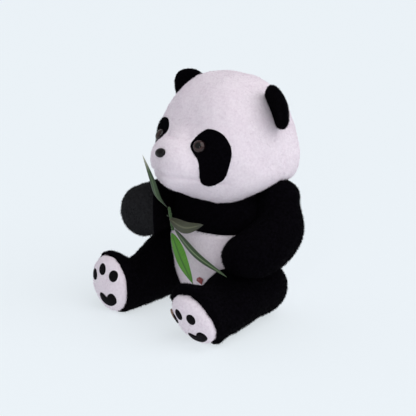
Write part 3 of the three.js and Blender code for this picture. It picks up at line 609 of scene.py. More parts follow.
def headReach(way):
    h = head
    x, y, z = way[..., 0], way[..., 1], way[..., 2]
    frontShare = smooth(-y, -0.25, 0.25)
    depth = h["back"] + (h["front"] - h["back"]) * frontShare
    down = h["downBack"] + (h["downFront"] - h["downBack"]) * smooth(-y, -0.2, 0.95)
    power = h["basePower"] + (h["topPower"] - h["basePower"]) * smooth(z, -0.25, 0.25)
    height = np.where(z > 0, h["up"], down)
    bend = h["planPower"]
    plan = (np.abs(x / h["halfWidth"]) ** bend + np.abs(y / depth) ** bend) ** (1 / bend)
    plain = (plan ** power + np.abs(z / height) ** power) ** (-1 / power)
    angle = np.degrees(np.arccos(np.clip(way @ heading(0, h["muzzleLift"]), -1, 1)))
    mirrored = np.stack([np.abs(x), y, z], -1)
    fromBrow = np.degrees(np.arccos(np.clip(mirrored @ heading(h["browAzimuth"], h["browElevation"]), -1, 1)))
    brow = h["browRise"] * np.exp(-(fromBrow / h["browSpread"]) ** 2)
    return plain + h["muzzleRise"] * np.exp(-(angle / h["muzzleSpread"]) ** h["muzzlePower"]) + brow


def headSeams(p):
    # how far the cloth is pulled in along the sewn lines, for points from the head's centre
    h = head

    def groove(distance, line, reach=1.0):
        width, depth = headStitch[line]
        return np.exp(-(distance / width) ** 2) * reach * depth

    crown = groove(p[:, 1] - h["seamY"], "crown")
    middle = groove(p[:, 0], "middle", smooth(p[:, 1], h["seamY"], h["seamY"] + 10))
    seamZ = -h["chinDrop"] + (h["chinBack"] - p[:, 1]) * math.tan(math.radians(h["chinSlope"]))
    ahead = smooth(h["chinBack"] - p[:, 1], -3, 3)
    chin = groove(p[:, 2] - seamZ, "chin", ahead)
    dart = groove(p[:, 1] - h["chinBack"], "dart", smooth(seamZ - p[:, 2], -2, 4) * smooth(p[:, 2], -60, -20))
    azimuth = np.degrees(np.arctan2(p[:, 0], -p[:, 1]))
    elevation = np.degrees(np.arcsin(p[:, 2] / np.linalg.norm(p, axis=1)))
    brow = groove(elevation - 24.5 - 0.0138 * azimuth ** 2, "brow", 1 - smooth(np.abs(azimuth), 13, 19))
    return np.maximum(np.maximum(np.maximum(crown, middle), brow), np.maximum(chin, dart))


ways, sphereFaces = cubeSphere(40)
headSkin = stuff("head_skin", head["centre"] + ways * headReach(ways)[:, None], sphereFaces,
                 lambda p: headSeams(p - head["centre"]), seed=11, lumps=0.6)
headSkin.data.materials.append(whitePlush)
onHeadSkin = skinFinder(headSkin)


def headPoints(way, lift=0.0):
    return onHeadSkin(np.repeat(head["centre"][None], len(way), 0), way, lift)


def headNormal(azimuth, elevation):
    step = 2.5
    spots = headPoints(heading(np.array([azimuth + step, azimuth - step, azimuth, azimuth]),
                               np.array([elevation, elevation, elevation + step, elevation - step])))
    normal = np.cross(spots[0] - spots[1], spots[2] - spots[3])
    return normal / np.linalg.norm(normal)


eyePatch = {
    "outline": [(18, 21.5), (21.2, 29.8), (29, 34.5), (37.6, 33.7), (45, 30), (50, 23.4), (51.2, 17), (49.7, 8.7),
                (46, -2), (39.5, -8), (31, -11), (26, -7), (26.5, 2), (25.5, 11)],
    "thickness": 1.7, "rings": 12, "around": 96, "bareRim": 1.04,
}


def outlineLoop(points, count):
    # a closed smooth loop through the points
    pts = np.asarray(points, float)
    n = len(pts)
    x = np.linspace(0, n, count, endpoint=False)
    i = np.floor(x).astype(int)
    u = (x - i)[:, None]
    a, b, c, d = pts[(i - 1) % n], pts[i % n], pts[(i + 1) % n], pts[(i + 2) % n]
    return 0.5 * (2 * b + (c - a) * u + (2 * a - 5 * b + 4 * c - d) * u ** 2
                  + (3 * b - a - 3 * c + d) * u ** 3)


def raisedPatch(name, loop, centre, place, thickness, rings, material):
    # a soft applique: place(points2d, lift) puts flat points on the surface it is sewn to
    shares = list(np.sin(np.linspace(0, math.pi / 2, rings + 1))[1:]) + [0.97, 0.6]
    lifts = [thickness * math.sqrt(max(1 - s ** 7, 0)) for s in shares[:rings]] + [-0.6, -0.8]
    points = [place(centre[None, :], thickness)]
    for share, lift in zip(shares, lifts):
        points.append(place(centre + (loop - centre) * share, lift))
    points.append(place(centre[None, :], -0.8))
    return newMesh(name, np.concatenate(points), ringFaces(len(shares), len(loop)), material)


def insideLoop(points, loop):
    # which flat points lie inside a closed loop, by counting crossings
    x, y = points[:, :1], points[:, 1:]
    x0, y0 = loop[:, 0][None], loop[:, 1][None]
    x1, y1 = np.roll(loop[:, 0], -1)[None], np.roll(loop[:, 1], -1)[None]
    spans = (y0 > y) != (y1 > y)
    crossing = (x1 - x0) * (y - y0) / np.where(y1 == y0, 1, y1 - y0) + x0
    return np.sum(spans & (x < crossing), axis=1) % 2 == 1


eye = {"azimuth": 25.5, "elevation": 21, "radius": 6.8, "dome": 5.0, "lift": 2.2, "pupil": 0.4, "iris": 8.2}
nose = {"elevation": 12.3, "radius": 5.0, "stretch": 1.5, "dome": 4.4, "lift": 0.2, "roll": 14,
        "bareSpot": 3.2}
button = {"around": 48, "rings": 16, "skirt": 1.5, "skirtShare": 0.92}
patchLoop = outlineLoop(eyePatch["outline"], eyePatch["around"])


def headBare(p):
    # no pile under the eye patches, the nose and the neck
    q = p - head["centre"]
    azimuth = np.degrees(np.arctan2(q[:, 0], -q[:, 1]))
    elevation = np.degrees(np.arcsin(q[:, 2] / np.linalg.norm(q, axis=1)))
    flat = np.stack([np.abs(azimuth), elevation], -1)
    wide = patchLoop.mean(0) + (patchLoop - patchLoop.mean(0)) * eyePatch["bareRim"]
    underPatch = insideLoop(flat, wide)
    underNose = np.hypot(azimuth, elevation - nose["elevation"]) < nose["bareSpot"]
    return np.where(underPatch | underNose | (p[:, 2] < head["neckZ"]), 0.0, 1.0)


headPile = growPile(headSkin, "head_pile", whitePlush, pile["head"], headBare)
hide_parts("face_panel", "chin_gusset", "head_back_left", "head_back_right", "head_filling")
for piece in (headSkin, headPile):
    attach(piece, "head")
print("head", len(headPile.data.polygons))

for side, sign in (("left", 1), ("right", -1)):
    loop = patchLoop * [sign, 1]
    onHead = lambda flat, lift: headPoints(heading(flat[:, 0], flat[:, 1]), lift)
    patch = raisedPatch("eye_patch_cloth_" + side, loop, loop.mean(0), onHead, eyePatch["thickness"],
                        eyePatch["rings"], blackPlush)
    fuzz = growPile(patch, "eye_patch_pile_" + side, blackPlush, pile["small"])
    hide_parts("eye_patch_" + side)
    for piece in (patch, fuzz):
        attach(piece, "head")


def domedButton(name, azimuth, spec, material):
    # a polished dome with a rounded rim, seated along the skin's normal
    normal = headNormal(azimuth, spec["elevation"])
    way = heading(np.array([azimuth]), np.array([spec["elevation"]]))
    seat = headPoints(way)[0] + normal * spec["lift"]
    level = np.cross([0, 0, 1], normal)
    level /= np.linalg.norm(level)
    up = np.cross(normal, level)
    roll = math.radians(spec.get("roll", 0))
    level, up = level * math.cos(roll) + up * math.sin(roll), up * math.cos(roll) - level * math.sin(roll)
    stretch = spec.get("stretch", 1)

    def ring(wide, high):
        angles = np.linspace(0, 2 * math.pi, button["around"], endpoint=False)
        return [seat + level * wide * math.cos(a) * stretch + up * wide * math.sin(a) + normal * high
                for a in angles]

    points = [seat + normal * spec["dome"]]
    for i in range(1, button["rings"] + 1):
        share = (math.pi / 2) * i / button["rings"]
        points += ring(spec["radius"] * math.sin(share), spec["dome"] * math.cos(share))
    points += ring(spec["radius"] * button["skirtShare"], -button["skirt"])
    points.append(seat - normal * button["skirt"])
    return newMesh(name, points, ringFaces(button["rings"] + 1, button["around"]), material), seat, normal


for side, sign in (("left", 1), ("right", -1)):
    dome, seat, normal = domedButton("eye_dome_" + side, sign * eye["azimuth"], eye, None)
    look = {"roughness": 0.06, "shine": 0.35, "pupil": eye["pupil"], "iris": "#3d2826", "rim": "#171012",
            "centre": (seat + normal * eye["dome"]) * mm, "radius": eye["iris"] * mm}
    dome.data.materials.append(plasticMaterial("mouldedAcrylicEye_" + side, look))
    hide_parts("eye_" + side)
    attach(dome, "head")

mouldedNose = plasticMaterial("mouldedBlackNose", {
    "roughness": 0.3, "shine": 0.2, "colour": "#0b0809", "worn": "#120d0f"})
noseDome, _, _ = domedButton("nose_dome", 0, nose, mouldedNose)
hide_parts("nose")
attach(noseDome, "head")
nylonWasher = plasticMaterial("mouldedNylonWasher", {
    "roughness": 0.5, "shine": 0.4, "colour": "#d9dade", "worn": "#cfd0d4"})


def paintNode(node, material):
    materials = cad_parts[node].data.materials
    materials.clear()
    materials.append(material)


for node in ("eye_left_washer", "eye_right_washer", "nose_washer"):
    paintNode(node, nylonWasher)
print("eyes and nose")

ear = {
    "base": (57, 17, 230.5), "along": (0.55, 0, -0.835), "facing": (-0.27, -0.92, -0.28),
    "radius": 24, "centreOut": 16.5, "halfThickness": 6.3, "cup": 2.5,
}


def earShape(side):
    # two cloth faces sewn round the rim, cupped a little to the front
    mirror = np.array([side, 1, 1])
    along = np.array(ear["along"]) * mirror
    facing = np.array(ear["facing"]) * mirror
    facing = facing - along * (facing @ along)
    facing /= np.linalg.norm(facing)
    out = np.cross(facing, along) * side
    centre = np.array(ear["base"]) * mirror + out * ear["centreOut"]
    around, rings = 72, 14
    angles = np.linspace(0, 2 * math.pi, around, endpoint=False)

    def ring(share, sign):
        thick = ear["halfThickness"] * math.sqrt(max(1 - share ** 3, 0))
        dish = ear["cup"] * (1 - share ** 2) if sign > 0 else 0
        bow = ear["cup"] * 0.6 * share ** 2
        radius = ear["radius"] * share * (1 + 0.015 * np.sin(5 * angles + side))
        flat = np.outer(radius * np.cos(angles), along) + np.outer(radius * np.sin(angles), out)
        return centre + flat + facing * (sign * thick - dish + bow)

    points = [(centre + facing * (ear["halfThickness"] - ear["cup"]))[None]]
    shares = list(np.linspace(0, 1, rings + 1)[1:] ** 0.8)
    points += [ring(s, 1) for s in shares]
    points += [ring(s, -1) for s in reversed(shares[:-1])]
    points.append((centre - facing * ear["halfThickness"])[None])
    return np.concatenate(points), ringFaces(2 * rings - 1, around), out


for side, sign in (("left", 1), ("right", -1)):
    points, faces, out = earShape(sign)
    cloth = newMesh("ear_cloth_" + side, points, faces, blackPlush)
    fuzz = growPile(cloth, "ear_pile_" + side, blackPlush, pile["small"])
    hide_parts("ear_%s_front" % side, "ear_%s_back" % side)
    foot = np.array(ear["base"]) * [sign, 1, 1]
    for piece in (cloth, fuzz):
        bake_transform(piece)
print("ears")


# ---------- torso ----------

body = {
    "centre": np.array([0, 4, 76.0]), "seamZ": 101, "sideSeamY": 8, "shoulderZ": (97, 111), "neckZ": 150,
    "lower": {"halfWidth": 62, "front": 58, "back": 52, "up": 90, "down": 84, "power": 2.3},
    "upper": {"halfWidth": 67, "front": 59, "back": 58, "up": 91, "down": 77, "power": 2.4},
}


def bodyReach(way, shape):
    x, y, z = way[:, 0], way[:, 1], way[:, 2]
    depth = shape["back"] + (shape["front"] - shape["back"]) * smooth(-y, -0.25, 0.25)
    height = np.where(z > 0, shape["up"], shape["down"])
    return (np.abs(x / shape["halfWidth"]) ** shape["power"] + np.abs(y / depth) ** shape["power"]
            + np.abs(z / height) ** shape["power"]) ** (-1 / shape["power"])


def bodySeams(p):
    # drawn in where the yoke meets the belly and the back, at the sides and down the middle of the back
    waist = np.exp(-((p[:, 2] - body["seamZ"]) / 2.4) ** 2) * 1.7
    side = np.exp(-((p[:, 1] - body["sideSeamY"]) / 2.2) ** 2) * 0.9
    spine = np.exp(-(p[:, 0] / 2.2) ** 2) * smooth(p[:, 1], 8, 20) * 1.1
    return np.maximum(waist, np.maximum(side, spine))


ways, sphereFaces = cubeSphere(36)
lower, upper = [ways * bodyReach(ways, body[half])[:, None] for half in ("lower", "upper")]
share = smooth(lower[:, 2] + body["centre"][2], *body["shoulderZ"])[:, None]
torsoPoints = body["centre"] + lower * (1 - share) + upper * share
torsoPoints[:, 2] = np.maximum(torsoPoints[:, 2], 0)
torso = stuff("torso_form", torsoPoints, sphereFaces, bodySeams, floorAt=0, seed=21, lumps=0.8)
seamPoint = (0, 0, body["seamZ"])
yoke = cutPiece(torso, "yoke_skin", seamPoint, (0, 0, 1), True, blackPlush)
belly = cutPiece(torso, "belly_and_back_skin", seamPoint, (0, 0, 1), False, whitePlush)
yokePile = growPile(torso, "yoke_pile", blackPlush, pile["body"],
                    lambda p: np.where((p[:, 2] > body["seamZ"] - 0.6) & (p[:, 2] < body["neckZ"]), 1.0, 0.0))
bellyPile = growPile(torso, "belly_pile", whitePlush, pile["body"],
                     lambda p: np.where(p[:, 2] < body["seamZ"] - 1.6, 1.0, 0.0))
bpy.data.objects.remove(torso)
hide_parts("yoke_front", "yoke_back_left", "yoke_back_right", "neck_filling")
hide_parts("belly_panel", "back_panel_left", "back_panel_right", "seat_panel", "body_filling")
for piece in (yoke, yokePile):
    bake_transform(piece)
for piece in (belly, bellyPile):
    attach(piece, "torso")
print("torso")

tail = {"centre": np.array([0, 60, 34.0]), "radius": 12, "height": 11}
ways, sphereFaces = cubeSphere(12)
tailPoints = tail["centre"] + ways * [tail["radius"], tail["radius"], tail["height"]]
tailSkin = stuff("tail_skin", tailPoints, sphereFaces, lambda p: np.exp(-(p[:, 0] / 1.6) ** 2) * 0.6,
                 voxel=3, cap=1.0, seed=31, lumps=0.3)
tailSkin.data.materials.append(whitePlush)
tailPile = growPile(tailSkin, "tail_pile", whitePlush, pile["small"])
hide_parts("tail_cover")
for piece in (tailSkin, tailPile):
    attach(piece, "tail")


# ---------- arms ----------

arms = {
    "left": {
        "spine": [(56, 32, 156), (61, 23, 132), (74, 8, 105), (77, -23, 88), (61, -57, 79)],
        "sizes": [(0, 22, 21), (0.25, 25.5, 25), (0.5, 28.5, 30), (0.75, 28, 28), (1, 18, 17)],
        "rootEnd": 18, "pawEnd": 18, "seamX": 78, "seed": 41,
        "blendFrom": (0.050, 0.030, 0.130), "blendTo": (0.080, -0.025, 0.100),
    },
    "right": {
        "spine": [(-50, 12, 121), (-65, -6, 115), (-67, -36, 112), (-58, -66, 112), (-50, -95, 111)],
        "sizes": [(0, 20, 18), (0.25, 26, 24), (0.55, 28.5, 29), (0.8, 28, 29), (1, 24.5, 26)],
        "rootEnd": 20, "pawEnd": 24, "seamX": -80, "seed": 43,
        "blendFrom": (-0.050, 0.025, 0.125), "blendTo": (-0.075, -0.030, 0.115),
    },
}
pawSeam = {"point": (-40.8, -70, 116), "normal": (-0.643, -0.766, 0)}  # the charcoal end of the right arm


def tubeForm(spine, sizes, rootEnd, pawEnd, along=40, around=36):
    # a tapering tube round a smooth spine, with rounded ends and closer rings towards them
    t = np.linspace(0, 1, 241)
    line = smoothLine(spine, t)
    run = np.concatenate([[0], np.cumsum(np.linalg.norm(np.diff(line, axis=0), axis=1))])
    length = run[-1]
    share = (1 - np.cos(np.linspace(0, math.pi, along + 1))) / 2
    share = share * 0.65 + np.linspace(0, 1, along + 1) * 0.35
    want = share * length
    centre = np.stack([np.interp(want, run, line[:, k]) for k in range(3)], -1)
    tangent = np.gradient(centre, axis=0)
    tangent /= np.linalg.norm(tangent, axis=1)[:, None]
    side = np.cross(tangent, [0, 0, 1])
    side /= np.linalg.norm(side, axis=1)[:, None]
    lift = np.cross(side, tangent)
    wide = np.interp(share, [s[0] for s in sizes], [s[1] for s in sizes])
    high = np.interp(share, [s[0] for s in sizes], [s[2] for s in sizes])
    soften = np.ones(5) / 5
    for _ in range(3):
        wide = np.convolve(np.pad(wide, 2, mode="edge"), soften, mode="valid")
        high = np.convolve(np.pad(high, 2, mode="edge"), soften, mode="valid")
    start = np.clip(1 - want / rootEnd, 0, 1)
    end = np.clip(1 - (length - want) / pawEnd, 0, 1)
    rounding = np.sqrt(np.maximum(1 - start ** 2.2 - end ** 2.2, 0))
    angles = np.linspace(0, 2 * math.pi, around, endpoint=False)
    points = [centre[:1]]
    for i in range(1, along):
        ring = np.outer(np.cos(angles) * wide[i], side[i]) + np.outer(np.sin(angles) * high[i], lift[i])
        points.append(centre[i] + ring * rounding[i])
    points.append(centre[-1:])
    return np.concatenate(points), ringFaces(along - 1, around)


for side in ("left", "right"):
    spec = arms[side]
    points, faces = tubeForm(spec["spine"], spec["sizes"], spec["rootEnd"], spec["pawEnd"])
    seam = lambda p: np.exp(-((p[:, 0] - spec["seamX"]) / 2.0) ** 2) * 0.8
    form = stuff("arm_form_" + side, points, faces, seam, seed=spec["seed"], lumps=0.9)
    outsideBody = lambda p: np.where(np.abs(p[:, 0]) > 52, 1.0, smooth(-p[:, 1], 20, 40))
    pieces = []
    if side == "left":
        pieces.append((copyPiece(form, "arm_skin_left", blackPlush),
                       growPile(form, "arm_pile_left", blackPlush, pile["limb"], outsideBody), "black_plush"))
        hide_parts("arm_left_outer", "arm_left_inner", "arm_left_filling")
    else:
        point, normal = pawSeam["point"], pawSeam["normal"]
        ahead = lambda p: (p - pawSeam["point"]) @ pawSeam["normal"]
        pieces.append((cutPiece(form, "arm_skin_right", point, normal, False, blackPlush),
                       growPile(form, "arm_pile_right", blackPlush, pile["limb"],
                                lambda p: outsideBody(p) * (ahead(p) < -0.5)), "black_plush"))
        pieces.append((cutPiece(form, "paw_skin_right", point, normal, True, charcoalPlush),
                       growPile(form, "paw_pile_right", charcoalPlush, pile["limb"],
                                lambda p: 1.0 * (ahead(p) > 0.5)), "charcoal_plush"))
        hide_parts("arm_right_outer", "arm_right_inner", "arm_right_filling")
        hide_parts("paw_right_panel")
    bpy.data.objects.remove(form)
    for skin, fuzz, slot in pieces:
        for piece in (skin, fuzz):
            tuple(spec["blendFrom"])
            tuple(spec["blendTo"])
            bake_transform(piece)
print("arms")


# ---------- legs ----------

legs = {
    "left": {
        "hip": (48.5, 1), "yaw": 12.6, "length": 107.5, "rootRadius": 36, "thighTop": 68, "halfWidth": 34,
        "ankleTop": 56, "press": 1.1, "taper": 0.26, "soleScale": 0.92, "soleShift": (-3, -3),
        "pitch": -22, "turn": 0, "roll": 20, "toeShift": (-6, -1.5), "heelShift": (1, -5), "seed": 51,
        "blendFrom": (0.048, 0.018, 0.03), "blendTo": (0.060, -0.045, 0.03),
    },
    "right": {
        "hip": (-61, -8), "yaw": -0.5, "length": 108, "rootRadius": 29, "thighTop": 82, "halfWidth": 26.5,
        "ankleTop": 53, "press": 1.05, "taper": 0.1, "soleScale": 0.96, "soleShift": (0, 0),
        "pitch": -3, "turn": 8, "roll": 9, "toeShift": (0.8, 3), "heelShift": (2, -3), "seed": 53,
        "blendFrom": (-0.05, 0.018, 0.03), "blendTo": (-0.055, -0.045, 0.03),
    },
}
thigh = {"at": 0.22, "ankleHalfWidth": 30, "ankleAt": 0.68, "footTop": 70, "press": 1.03}
sole = {"halfWidth": 27, "halfHeight": 34.5, "dome": 12, "height": 34.5}


def legPlace(leg, local):
    # from the leg's own axes, along -Y from the hip, to the toy's
    a = math.radians(leg["yaw"])
    x, y, z = local[:, 0], local[:, 1], local[:, 2]
    return np.stack([leg["hip"][0] + x * math.cos(a) - y * math.sin(a),
                     leg["hip"][1] + x * math.sin(a) + y * math.cos(a), z], -1)


def legShape(leg, around=40, along=34):
    start, end = -leg["rootRadius"], leg["length"]
    shares = 1 - np.cos(np.linspace(0, math.pi / 2, along + 1))
    shares = shares * 0.6 + np.linspace(0, 1, along + 1) * 0.4
    angles = np.linspace(0, 2 * math.pi, around, endpoint=False)
    points = [np.array([[0, -start, leg["thighTop"] / 2]])]
    for share in shares[1:]:
        run = start + (end - start) * share
        ahead = max(run, 0) / leg["length"]
        toThigh, toAnkle = smooth(ahead, 0, thigh["at"]), smooth(ahead, thigh["at"], thigh["ankleAt"])
        toFoot, bend = smooth(ahead, thigh["ankleAt"], 0.97), smooth(ahead, 0.5, 1)
        wide = leg["rootRadius"] + (leg["halfWidth"] - leg["rootRadius"]) * toThigh
        wide += (thigh["ankleHalfWidth"] - wide) * toAnkle
        wide += (sole["halfWidth"] + 2.5 - wide) * toFoot
        high = leg["thighTop"] + (leg["ankleTop"] - leg["thighTop"]) * toAnkle
        high += (thigh["footTop"] - high) * toFoot
        root = min(run / leg["rootRadius"], 0)
        fullness = math.sqrt(max(1 - root * root, 0))
        press = thigh["press"] + (leg["press"] - thigh["press"]) * toAnkle
        x, z = np.cos(angles) * wide * fullness, np.sin(angles) * high / 2 * fullness * press
        x = x * (1 - leg["taper"] * (1 - toFoot) * np.maximum(-np.sin(angles), 0) ** 2)
        roll = math.radians(leg["roll"]) * toFoot
        dx, dz = x * math.cos(roll) - z * math.sin(roll), x * math.sin(roll) + z * math.cos(roll)
        turn, pitch = math.tan(math.radians(leg["turn"])), math.tan(math.radians(leg["pitch"]))
        y = -run + dx * turn * bend + dz * pitch * bend
        points.append(np.stack([dx, y, high / 2 + dz], -1))
    points.append(np.array([[0, -end + 4, thigh["footTop"] / 2]]))
    local = np.concatenate(points)
    local[:, 2] = np.maximum(local[:, 2], 0)
    return legPlace(leg, local), ringFaces(along, around)


def solePlace(leg, flat, lift=0.0):
    # from the sole's own plane, where flat holds x, y and the height over it, to the toy's axes
    x = flat[:, 0] * leg["soleScale"] + leg["soleShift"][0]
    y = flat[:, 1] * leg["soleScale"] + leg["soleShift"][1]
    z = flat[:, 2] + lift
    p, t = math.radians(leg["pitch"]), math.radians(leg["turn"])
    forward = np.array([math.sin(t) * math.cos(p), -math.cos(t) * math.cos(p), math.sin(p)])
    level = np.array([math.cos(t), math.sin(t), 0])
    up = np.cross(forward, level)
    r = math.radians(leg["roll"])
    level, up = level * math.cos(r) + up * math.sin(r), up * math.cos(r) - level * math.sin(r)
    middle = np.array([0, -leg["length"] + 1.0, sole["height"]])
    return legPlace(leg, middle + np.outer(x, level) + np.outer(y, up) + np.outer(z, forward))


def domeHeight(x, y):
    share = (x / sole["halfWidth"]) ** 2 + (y / sole["halfHeight"]) ** 2
    return sole["dome"] * np.sqrt(np.maximum(1 - np.minimum(share, 1), 0))


def onSole(leg, finder):
    # flat points on the finished sole, along its own normal
    def place(flat, lift):
        origins = solePlace(leg, np.stack([flat[:, 0], flat[:, 1], 0 * flat[:, 0]], -1))
        ways = solePlace(leg, np.stack([flat[:, 0], flat[:, 1], 0 * flat[:, 0] + 1], -1)) - origins
        return finder(origins, ways, lift)
    return place


pads = {
    "toes": [(-15.5, 9.5, 5.2, 6.6), (0, 17, 5.2, 6.6), (15.5, 9.5, 5.2, 6.6)],
    "heel": [(-12.8, -11), (-10, -5.6), (-4.8, -6.2), (0, -10), (4.8, -6.2), (10, -5.6), (12.8, -11),
             (10, -18.5), (0, -22.5), (-10, -18.5)],
    "heelMiddle": (0, -13.0), "thickness": 1.5, "reach": 20.5, "bare": 2.6,
}


def localSide(leg, p):
    # sideways distance from the leg's own middle line
    a = math.radians(leg["yaw"])
    return (p[:, 0] - leg["hip"][0]) * math.cos(a) + (p[:, 1] - leg["hip"][1]) * math.sin(a)


for side, sign in (("left", 1), ("right", -1)):
    leg = legs[side]
    points, faces = legShape(leg)
    middleSeam = lambda p: np.exp(-(localSide(leg, p) / 2.0) ** 2) * 0.8
    skin = stuff("leg_skin_" + side, points, faces, middleSeam, floorAt=0, seed=leg["seed"], lumps=0.9)
    skin.data.materials.append(blackPlush)
    fuzz = growPile(skin, "leg_pile_" + side, blackPlush, pile["limb"])
    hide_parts("leg_%s_outer" % side, "leg_%s_inner" % side, "leg_%s_filling" % side)
    for piece in (skin, fuzz):
        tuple(leg["blendFrom"])
        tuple(leg["blendTo"])
        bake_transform(piece)
    angles = np.linspace(0, 2 * math.pi, 60, endpoint=False)
    flat = [np.array([[0, 0, sole["dome"]]])]
    for share in np.sin(np.linspace(0, math.pi / 2, 13))[1:]:
        x, y = sole["halfWidth"] * share * np.cos(angles), sole["halfHeight"] * share * np.sin(angles)
        flat.append(np.stack([x, y, domeHeight(x, y)], -1))
    flat.append(np.stack([x * 0.97, y * 0.97, 0 * x - 5], -1))
    flat.append(np.array([[0, 0, -5.0]]))
    solePoints = solePlace(leg, np.concatenate(flat))
    solePoints[:, 2] = np.maximum(solePoints[:, 2], 0)
    soleSkin = stuff("sole_skin_" + side, solePoints, ringFaces(13, 60), lambda p: np.zeros(len(p)),
                     floorAt=0, voxel=4, cap=1.2, seed=leg["seed"] + 3, lumps=0.4)
    soleSkin.data.materials.append(whitePlush)
    place = onSole(leg, skinFinder(soleSkin))
    padRims = []
    for name, (x0, y0, rx, ry) in zip(("inner", "middle", "outer"), pads["toes"]):
        middle = np.array([max(x0 * sign + leg["toeShift"][0], -pads["reach"]), y0 + leg["toeShift"][1]])
        rim = middle + np.stack([rx * np.cos(angles), ry * np.sin(angles)], -1)
        padRims.append(("toe_cloth_%s_%s" % (name, side), "toe_pad_%s_%s" % (name, side), rim, middle))
    middle = np.array(pads["heelMiddle"]) + leg["heelShift"]
    rim = outlineLoop(pads["heel"], 60) + leg["heelShift"]
    padRims.append(("heel_cloth_" + side, "heel_pad_" + side, rim, middle))
    for piece, node, rim, middle in padRims:
        pad = raisedPatch(piece, rim, middle, place, pads["thickness"], 8, padPlush)
        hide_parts(node)
        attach(pad, "leg_" + side)
    rims = [place(middle + (rim - middle) * 0.9, 0.5) for _, _, rim, middle in padRims]

    def underPads(p):
        spots = np.concatenate(rims + [rim * 0.5 + rim.mean(0) * 0.5 for rim in rims])
        near = np.full(len(p), 1e9)
        for spot in spots[::3]:
            near = np.minimum(near, np.linalg.norm(p - spot, axis=1))
        return np.where(near < pads["bare"], 0.0, 1.0)

    solePile = growPile(soleSkin, "sole_pile_" + side, whitePlush, pile["small"], underPads)
    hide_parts("sole_" + side)
    for piece in (soleSkin, solePile):
        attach(piece, "leg_" + side)
print("legs")


# ---------- bamboo sprig ----------

sprig = {
    "leaf_upper": {"spine": [(-19, -68, 124), (-8, -89, 142), (-3, -100, 165), (-1, -113, 194)], "width": 8,
                   "slot": "leaf_dark",
                   "look": {"veins": 14, "dark": "#1f3419", "light": "#345026", "mottle": "#c9d2b4",
                            "rib": "#4f6a3a", "tip": "#b9b6a6", "fade": 0.78}},
    "leaf_side": {"spine": [(-16.5, -67, 111), (20, -75, 112), (49, -73, 122)], "width": 13,
                  "slot": "leaf_olive",
                  # olive cloth, with painted shade: the side leaf's colours are darkened as for a leaf lying in
                  # shade
                  "look": {"veins": 18, "dark": "#2c2f1d", "light": "#4a4d30", "mottle": "#d6d3b8",
                           "rib": "#63664a", "tip": "#34362a", "fade": 0.8}},
    "leaf_front": {"spine": [(-12, -67.5, 96), (14, -75, 75), (31, -73, 51)], "width": 14,
                   "slot": "leaf_bright",
                   "look": {"veins": 20, "dark": "#45841f", "light": "#65a332", "mottle": "#cfe0a0",
                            "rib": "#335f1c", "tip": "#4c8430", "fade": 0.8}},
    "leaf_long": {"spine": [(-10, -65, 100.5), (49, -84, 92), (95, -80, 79)], "width": 7.5,
                  "slot": "leaf_dark",
                  "look": {"veins": 12, "dark": "#1f3316", "light": "#35542a", "mottle": "#c9d2b4",
                           "rib": "#7f9468", "tip": "#3a4d2c", "fade": 0.8}},
}
leafCloth = {"thickness": 0.7, "fold": 0.16, "curl": 0.8, "waves": 9, "facing": (0.35, -0.9, 0.25)}


def leafShape(spine, width):
    # a narrow pointed leaf with a shallow fold along its midrib and a slight ripple at its edges
    along, across = 48, 10
    t = np.linspace(0, 1, along + 1)
    line = smoothLine(spine, t)
    tangent = np.gradient(line, axis=0)
    tangent /= np.linalg.norm(tangent, axis=1)[:, None]
    side = np.cross(tangent, np.array(leafCloth["facing"]))
    side /= np.linalg.norm(side, axis=1)[:, None]
    face = np.cross(side, tangent)
    half = width / 2 * np.sin(math.pi * np.clip(t, 0.004, 0.996) ** 0.8) ** 0.8
    points, uvs = [], []
    for level in (1, -1):
        for i in range(along + 1):
            for j in range(across + 1):
                s = 2 * j / across - 1
                thin = leafCloth["thickness"] / 2 * max(1 - abs(s) ** 4, 0.15) * min(1, half[i] / 1.5)
                wave = math.sin(t[i] * leafCloth["waves"] + width)
                height = (-abs(s) * half[i] * leafCloth["fold"]
                          + leafCloth["curl"] * s * s * wave * half[i] / width)
                points.append(line[i] + side[i] * s * half[i] + face[i] * (height + level * thin))
                uvs.append((t[i], j / across))
    row, sheet = across + 1, (along + 1) * (across + 1)
    faces = []
    for i in range(along):
        for j in range(across):
            a = i * row + j
            faces.append((a, a + row, a + row + 1, a + 1))
            faces.append((sheet + a, sheet + a + 1, sheet + a + row + 1, sheet + a + row))
        for a in (i * row, i * row + across):
            faces.append((a, a + row, sheet + a + row, sheet + a))
    for a in range(across):
        faces.append((a, a + 1, sheet + a + 1, sheet + a))
        b = along * row + a
        faces.append((b, b + 1, sheet + b + 1, sheet + b))
    return np.array(points), faces, uvs


for name, leaf in sprig.items():
    points, faces, uvs = leafShape(leaf["spine"], leaf["width"])
    mesh = bpy.data.meshes.new(name + "_cloth")
    mesh.from_pydata([tuple(p) for p in points * mm], [], faces)
    layer = mesh.uv_layers.new(name="leaf")
    for loop in mesh.loops:
        layer.data[loop.index].uv = uvs[loop.vertex_index]
    faceOutwards(mesh)
    shadeSmooth(mesh)
    cloth = linkObject(name + "_cloth", mesh)
    mesh.materials.append(leafMaterial("printedSatin_" + name, leaf["look"]))
    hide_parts(name)
    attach(cloth, "bamboo_sprig")

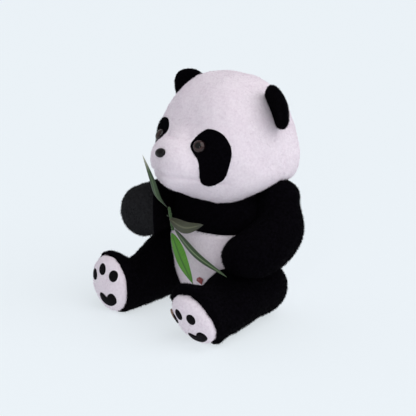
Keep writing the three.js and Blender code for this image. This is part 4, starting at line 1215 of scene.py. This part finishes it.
stem = {"foot": (-15, -63, 97), "head": (-22, -63, 123), "radius": 1.7, "joints": (0.25, 0.7),
        "steps": 40, "around": 20}
stemMaterial = tapeMaterial("wrappedGreenStem", "#48663a", "#2f4726")
line = np.linspace(stem["foot"], stem["head"], stem["steps"] + 1)
angles = np.linspace(0, 2 * math.pi, stem["around"], endpoint=False)
points = [line[:1]]
for i in range(1, stem["steps"]):
    t = i / stem["steps"]
    swell = 1 + 0.25 * sum(math.exp(-((t - j) / 0.03) ** 2) for j in stem["joints"])
    cap = math.sqrt(min(1, min(t, 1 - t) / 0.05))
    radius = stem["radius"] * swell * cap
    points.append(line[i] + np.stack([radius * np.cos(angles), radius * np.sin(angles), 0 * angles], -1))
points.append(line[-1:])
stemPiece = newMesh("bamboo_stem_wrap", np.concatenate(points), ringFaces(stem["steps"] - 1, stem["around"]),
                    stemMaterial)
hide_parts("bamboo_stem")
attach(stemPiece, "bamboo_sprig")
print("sprig")


# ---------- small trim ----------

paintNode("sprig_stitch", tapeMaterial("greenPolyesterThread", "#3b4a30", "#232d1c"))
paintNode("seam_label", tapeMaterial("redWovenTape", "#9a3438", "#7a2428"))
loopMaterial = tapeMaterial("tanWovenTape", "#86644d", "#664834")
tag = {
    "angle": 166, "halfSpan": 13, "reach": 4.5, "root": -3.0, "halfThickness": 1.1, "height": 2.0,
    "square": 0.6, "steps": 14, "around": 16,
}
leg = legs["left"]
points = []
turns = np.linspace(0, 2 * math.pi, tag["around"], endpoint=False)
for i in range(tag["steps"] + 1):
    # a flat tab, folded over at its outer edge, that follows the seam round the sole
    share = 2 * i / tag["steps"] - 1
    angle = math.radians(tag["angle"] + tag["halfSpan"] * share)
    middle = (tag["reach"] + tag["root"]) / 2
    half = (tag["reach"] - tag["root"]) / 2 * (1 - 0.35 * abs(share) ** 3)
    out = middle + half * np.sign(np.cos(turns)) * np.abs(np.cos(turns)) ** tag["square"]
    z = tag["height"] + tag["halfThickness"] * np.sign(np.sin(turns)) * np.abs(np.sin(turns)) ** tag["square"]
    ring = np.stack([(sole["halfWidth"] + out) * math.cos(angle),
                     (sole["halfHeight"] + out) * math.sin(angle), z], -1)
    if i == 0:
        points.append(ring.mean(0)[None])
    points.append(ring)
points.append(ring.mean(0)[None])
loopTab = newMesh("sole_loop_tape", solePlace(leg, np.concatenate(points)),
                  ringFaces(tag["steps"] + 1, tag["around"]), loopMaterial)
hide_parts("sole_loop")
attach(loopTab, "leg_left")
